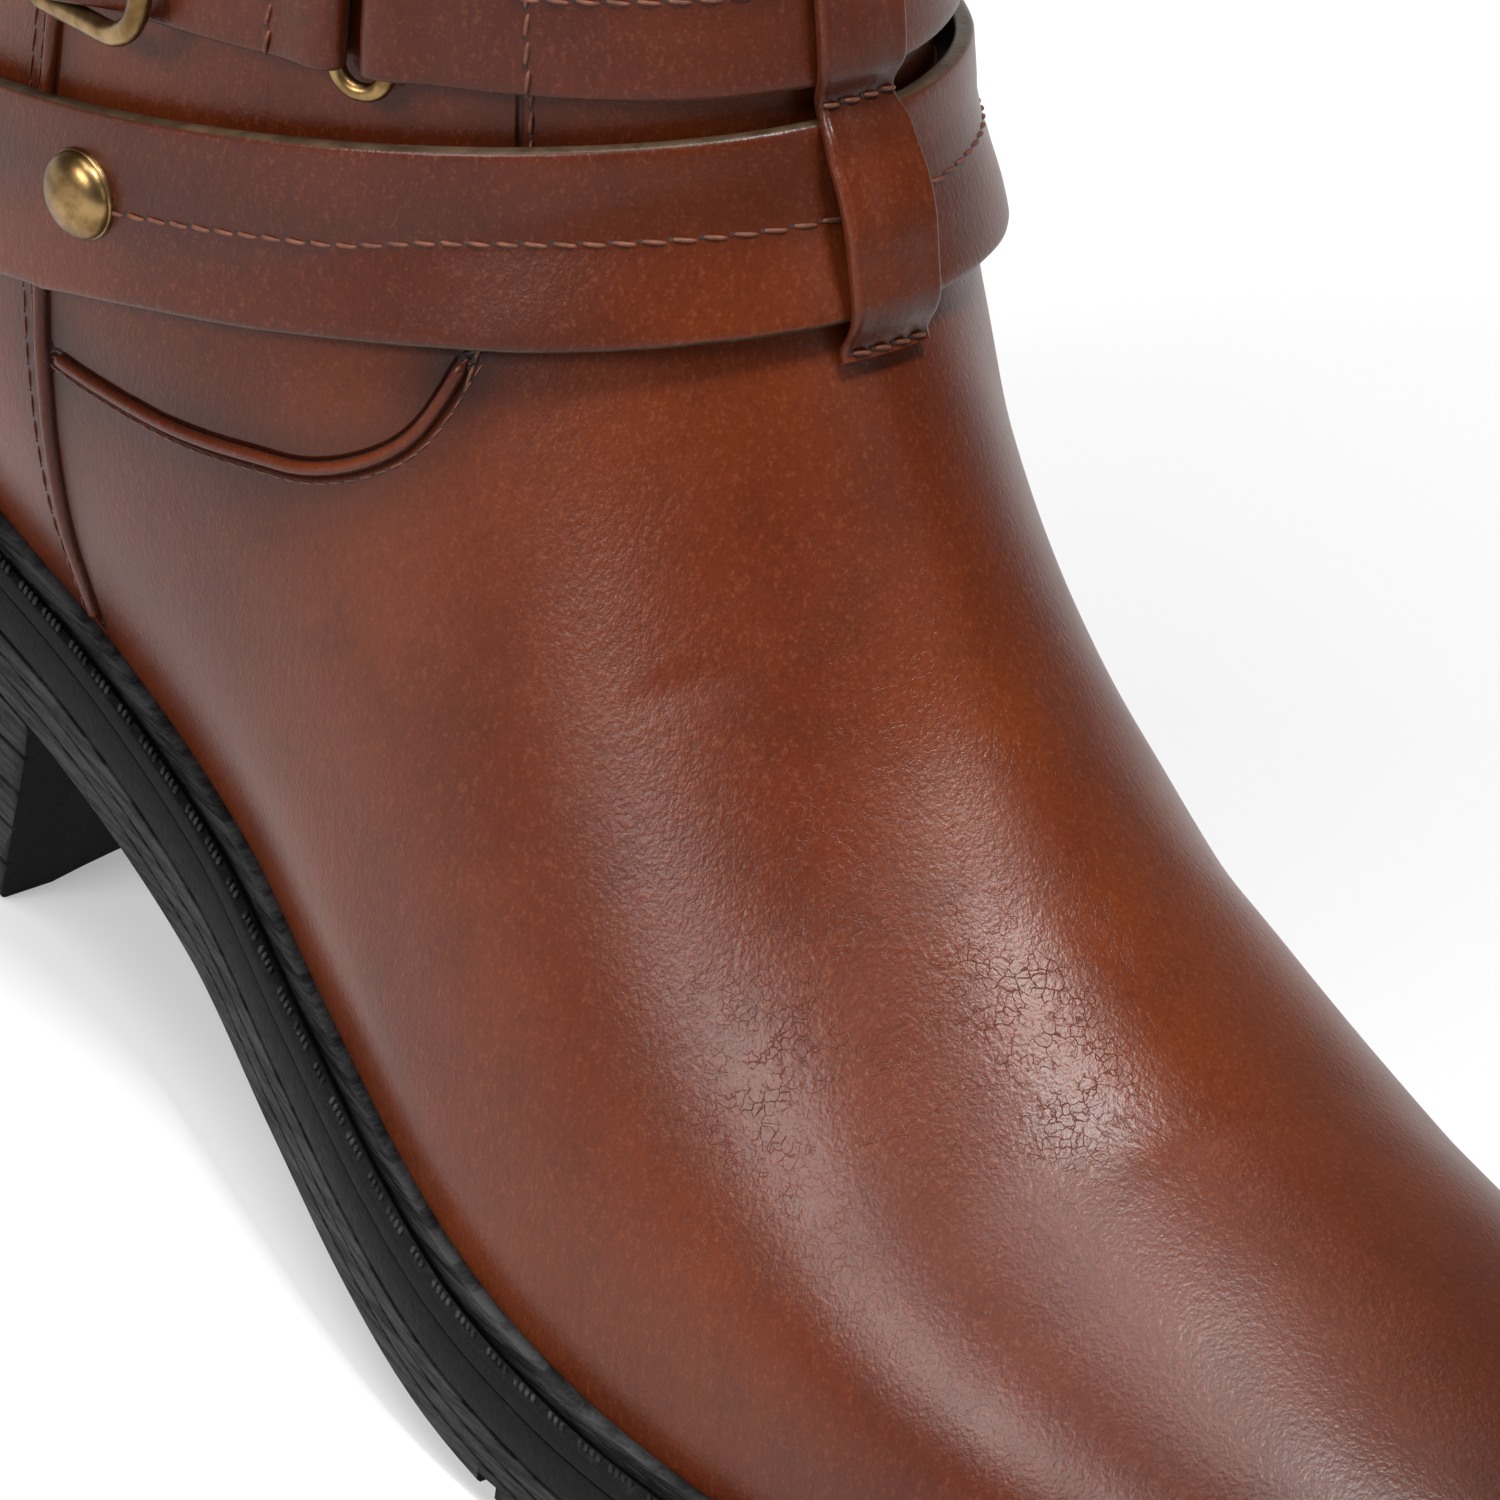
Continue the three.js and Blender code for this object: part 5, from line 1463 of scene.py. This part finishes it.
def heel():
    """The stacked block with its layer lines, and its breast cut slanted and hollow."""
    def reach(z):
        return WELT_WIDTH - HEEL_TAPER * (1 - z / HEEL_HEIGHT)

    def level(z, depth=0):
        return outline_ring(reach(z) - depth, lambda x: 0 * x + z)

    layers = int((BREAST_HEIGHT - LAYER_PITCH / 2) // LAYER_PITCH)
    rings = [level(0, 0.6), level(0.2, 0.2), level(0.6)]
    for i in range(1, layers + 1):
        rings += [level(i * LAYER_PITCH + lift, depth) for lift, depth in LAYER_LINE]
    top = layers * LAYER_PITCH + 1
    rings.append(outline_ring(WELT_WIDTH, lambda x: np.maximum(floor_to(x) - 0.1, top)))
    piece = stack("heel_stack", rings, "heel_block", streak=0.8, sharp=30)
    lean = slope(BREAST_TILT)
    hollow = 0.3 * BALL_WIDTH
    t = np.linspace(0, 1, 13)
    curve = np.stack([-4 * BREAST_HOLLOW * t * (1 - t), -hollow + 2 * hollow * t], 1)
    plan = np.concatenate([[(0, -BALL_WIDTH)], curve, [
        (0, BALL_WIDTH), (2 * LENGTH, BALL_WIDTH), (2 * LENGTH, -BALL_WIDTH)]])[::-1]
    walls = []
    for z in (-HEEL_HEIGHT, 2 * HEEL_HEIGHT):
        x = plan[:, 0] + HEEL_LENGTH - lean * BREAST_HEIGHT + lean * z
        walls.append(np.stack([x, plan[:, 1], np.full(len(plan), float(z))], 1))
    cut(piece, bare_object("breast_cut", np.concatenate(walls), skin_faces(2, len(plan))))


def leather_reach(height):
    """How far the upper stands outside the outline at a height over its bottom edge, as a
    function of the outline's turn."""
    ring = outline_ring(0, lambda x: 0 * x, 600)
    count = len(ring)
    centre_runs = unit(np.roll(ring, -1, 0) - np.roll(ring, 1, 0))
    outward = np.stack([centre_runs[:, 1], -centre_runs[:, 0]], 1)
    found = []
    u = np.linspace(0, 0.30, 120)
    for p in np.concatenate([np.linspace(0.02, SEAT_ROW, 260), np.linspace(SEAT_ROW, SEAT_ROW + 2, 80)[1:]]):
        line = surface(p, u)
        over = line[:, 2] - floor_to(np.clip(line[:, 0], 0, LENGTH)) - FEATHER - height
        if over[0] > 0:
            continue
        k = int(np.argmax(over > 0))
        if k == 0:
            continue
        t = over[k - 1] / (over[k - 1] - over[k])
        found.append(line[k - 1] + t * (line[k] - line[k - 1]))
    back = surface(np.linspace(SEAT_ROW, SEAT_ROW + 3, 200), 0.0)
    over = back[:, 2] - HEEL_HEIGHT - FEATHER - height
    found.append(back[int(np.argmax(over > 0))])
    found = np.array(found)
    reach = []
    for mirrored in (False, True):
        spots = found.copy()
        if mirrored:
            half, shift = outline_at(np.clip(spots[:, 0], 0, LENGTH))
            spots[:, 1] = 2 * shift - spots[:, 1]
        gap = spots[:, None, :2] - ring[None, :, :2]
        nearest = np.argmin((gap ** 2).sum(-1), 1)
        away = (gap[np.arange(len(spots)), nearest] * outward[nearest]).sum(-1)
        order = np.argsort(nearest)
        reach.append((nearest[order] / count * 2 * np.pi, away[order]))
    turns = np.concatenate([reach[0][0], reach[1][0]])
    values = np.concatenate([reach[0][1], reach[1][1]])
    order = np.argsort(turns)
    return turns[order], values[order]


# The welt's mesh: steps to a side, how far the rib may lean out and keeps past the leather
WELT_STEPS = 300
LEAN_LIMIT = 2.2
RIB_CLEARANCE = 1.45
GROOVE_DEPTH = 1.5
# Moulded stitches: their radius, half length and slant, and how many of a group's places they fill
WELT_STITCH = 0.27
WELT_STITCH_HALF = 0.55
WELT_STITCH_SLANT = 0.9
GROUP_PLACES = 5.4
GROUP_STITCHES = 3.9


def storm_welt():
    """A rib that follows the leather, a deep groove and the stitched flange."""
    low = BAND_TOP + 0.05
    flange = BAND_TOP + GAP + FLANGE_THICKNESS
    top = BAND_TOP + GAP + RIB_HEIGHT
    turns, values = leather_reach(RIB_HEIGHT)
    at = np.arange(2 * WELT_STEPS) / WELT_STEPS * np.pi
    lean = np.interp(at, turns, np.clip(values, 0, LEAN_LIMIT), period=2 * np.pi)
    kernel = np.hanning(31)
    kernel /= kernel.sum()
    lean = np.convolve(np.concatenate([lean[-15:], lean, lean[:15]]), kernel, "valid")
    rib = np.maximum(GAP + RIB_WIDTH, lean + RIB_CLEARANCE)
    groove = rib + GROOVE_WIDTH
    smooth_rows = [
        (low, WELT_WIDTH - 0.3), (low + 0.2, WELT_WIDTH), (flange - 0.35, WELT_WIDTH),
        (flange - 0.1, WELT_WIDTH - 0.1), (flange, WELT_WIDTH - 0.35),
        (flange, groove + 0.15), (flange - 0.2, groove),
        (flange - GROOVE_DEPTH, groove - 0.25), (flange - GROOVE_DEPTH, rib + 0.15),
    ]
    rib_rows = [
        (flange, rib + 0.05), (top - 0.5, rib), (top - 0.15, rib - 0.15), (top, rib - 0.45),
        (top, rib - 1.3), (top - 0.4, rib - 2.2), (low, rib - 2.4),
    ]
    rings = np.stack([
        outline_ring(np.broadcast_to(np.asarray(e, float), at.shape), lambda x, h=height: floor_to(x) + h,
                     WELT_STEPS)
        for height, e in smooth_rows + rib_rows], 1)
    marks = np.array([0.0] * len(smooth_rows) + [1.0] * len(rib_rows))
    faces = skin_faces(2 * WELT_STEPS, len(marks), loop=True)
    make_piece("storm_welt_rib", rings[::-1], faces, ("rubber", RUBBER), ("storm_welt",), sharp=40,
               streak=np.broadcast_to(marks, rings.shape[:2]))

    # The moulded stitches: groups of about four slanted turns on the flange
    path = outline_ring((WELT_WIDTH + groove) / 2 - 0.05, lambda x: floor_to(x) + flange, WELT_STEPS)
    spots, = along_path(WELT_STITCH_PITCH / GROUP_PLACES, np.concatenate([path, path[:1]]))
    run = unit(np.gradient(spots, axis=0))
    up = np.array([0, 0, 1.0])
    slanted = unit(run + WELT_STITCH_SLANT * unit(np.cross(run, up)))
    keep = np.arange(len(spots)) % GROUP_PLACES < GROUP_STITCHES
    spots = spots[keep]
    half = slanted[keep] * WELT_STITCH_HALF
    points, faces = capsules(spots - half, spots + half, np.broadcast_to(up, spots.shape), WELT_STITCH)
    # The stitches take the greyer ribbed colour, which also paints the highlights on their lobes
    make_piece("welt_stitches", points, faces, ("rubber", RUBBER), sharp=80, streak=np.ones(len(points)))


def insole():
    edge = -WALL - 3 * GAP
    layer("insole_sock", [
        (FEATHER, edge), (FEATHER + INSOLE_THICKNESS - 0.4, edge),
        (FEATHER + INSOLE_THICKNESS, edge - 0.5)], "insole", slots=("lining", LINING))


# The stage

# The photograph's view: where it aims, from which side and height, its roll and its lens
AIM = np.array([110 - HEEL_CENTRE, 0, 50]) * MM
VIEW_SIDE = math.radians(41.291)
VIEW_HEIGHT = math.radians(34.256)
VIEW_ROLL = math.radians(-7.943)
VIEW_DISTANCE = 1.19963
LENS = 301.75
FRAME_RIGHT = 8.818 * MM
FRAME_DOWN = 5.622 * MM
SENSOR = 36
NEAREST = 0.05
FURTHEST = 50


def camera():
    """The camera stands back from AIM and looks past it, so that the frame sits as in the photograph."""
    v = np.array([
        math.cos(VIEW_HEIGHT) * math.cos(VIEW_SIDE), -math.cos(VIEW_HEIGHT) * math.sin(VIEW_SIDE),
        math.sin(VIEW_HEIGHT)])
    level = np.array([math.sin(VIEW_SIDE), math.cos(VIEW_SIDE), 0])
    plumb = np.cross(v, level)
    right = math.cos(VIEW_ROLL) * level - math.sin(VIEW_ROLL) * plumb
    up = math.sin(VIEW_ROLL) * level + math.cos(VIEW_ROLL) * plumb
    place = AIM + v * VIEW_DISTANCE
    back = unit(place - (AIM + FRAME_RIGHT * right - FRAME_DOWN * up))
    right = unit(right - back * (right @ back))
    up = np.cross(back, right)
    data = bpy.data.cameras.new("camera")
    data.lens = LENS
    data.sensor_width = SENSOR
    data.clip_start = NEAREST
    data.clip_end = FURTHEST
    thing = bpy.data.objects.new("camera", data)
    matrix = Matrix.Identity(4)
    for i in range(3):
        matrix[i][0], matrix[i][1], matrix[i][2], matrix[i][3] = right[i], up[i], back[i], place[i]
    thing.matrix_world = matrix
    bpy.context.scene.collection.objects.link(thing)
    bpy.context.scene.camera = thing


FLOOR_REACH = 6
FLOOR_COLOUR = (0.46, 0.46, 0.462, 1)
FLOOR_ROUGHNESS = 0.7
FLOOR_GLOW = 0.37
WHITE = (1, 1, 1, 1)
# The room is lighter to one side: its direction, and the strengths away from it and towards it
ROOM_SIDE = (-0.6, 0.8, -0.1)
ROOM_DARK = 0.10
ROOM_LIGHT = 0.30
# Soft boxes: place, aim, width, height and power
SOFTBOXES = {
    "overhead": ((0.42, -0.02, 1.5), (0.16, 0, 0.06), 0.26, 0.26, 22),
    "overhead_wide": ((-0.08, -0.38, 1.42), (0.19, 0, 0.05), 0.62, 0.62, 11),
    "outer_side": ((-0.06, -1.3, 0.85), (0.15, 0, 0.05), 0.6, 0.45, 17),
    "inner_back": ((-0.32, 0.72, 1.40), (0.2, 0, 0.05), 0.2, 0.2, 2),
    "front": ((1.6, 0.3, 0.8), (0.08, 0, 0.06), 0.8, 0.8, 2),
}


def softbox(name, place, aim, width, height, power):
    data = bpy.data.lights.new(name, "AREA")
    data.shape = "RECTANGLE"
    data.size = width
    data.size_y = height
    data.energy = power
    light = bpy.data.objects.new(name, data)
    light.location = place
    light.rotation_euler = (Vector(place) - Vector(aim)).to_track_quat("Z", "Y").to_euler()
    bpy.context.scene.collection.objects.link(light)


def studio():
    """A pale floor with a faint glow of its own, a pale room and the soft boxes."""
    mesh = bpy.data.meshes.new("studio_floor")
    corners = [(x * FLOOR_REACH, y * FLOOR_REACH, 0) for x, y in ((-1, -1), (1, -1), (1, 1), (-1, 1))]
    mesh.from_pydata(corners, [], [(0, 1, 2, 3)])
    floor = bpy.data.objects.new("studio_floor", mesh)
    bpy.context.scene.collection.objects.link(floor)
    material = bpy.data.materials.new("floor_paint")
    material.use_nodes = True
    shader = material.node_tree.nodes["Principled BSDF"]
    shader.inputs["Base Color"].default_value = FLOOR_COLOUR
    shader.inputs["Roughness"].default_value = FLOOR_ROUGHNESS
    shader.inputs["Emission Color"].default_value = WHITE
    shader.inputs["Emission Strength"].default_value = FLOOR_GLOW
    mesh.materials.append(material)
    world = bpy.data.worlds.new("studio")
    world.use_nodes = True
    tree = world.node_tree
    direction = add_node(tree, "ShaderNodeTexCoord").outputs["Generated"]
    across = add_node(tree, "ShaderNodeVectorMath", {0: direction, 1: ROOM_SIDE}, operation="DOT_PRODUCT")
    background = tree.nodes["Background"]
    background.inputs["Color"].default_value = WHITE
    strength = ramp(tree, across.outputs["Value"], 0.1, 0.9, ROOM_DARK, ROOM_LIGHT)
    tree.links.new(strength, background.inputs["Strength"])
    bpy.context.scene.world = world
    for name, settings in SOFTBOXES.items():
        softbox(name, *settings)
    bpy.context.scene.view_settings.view_transform = "Standard"


camera()
upper()
seams()
lower_strap()
long_strap()
short_strap()
keeper()
link()
buckle()
stud()
threads.make("strap_threads", STRAP_THREAD, THREAD)
fine_threads.make("seam_threads", FINE_THREAD, SEAM_THREAD)
heel()
outsole()
midsole()
storm_welt()
insole()
studio()

bpy.context.view_layer.update()
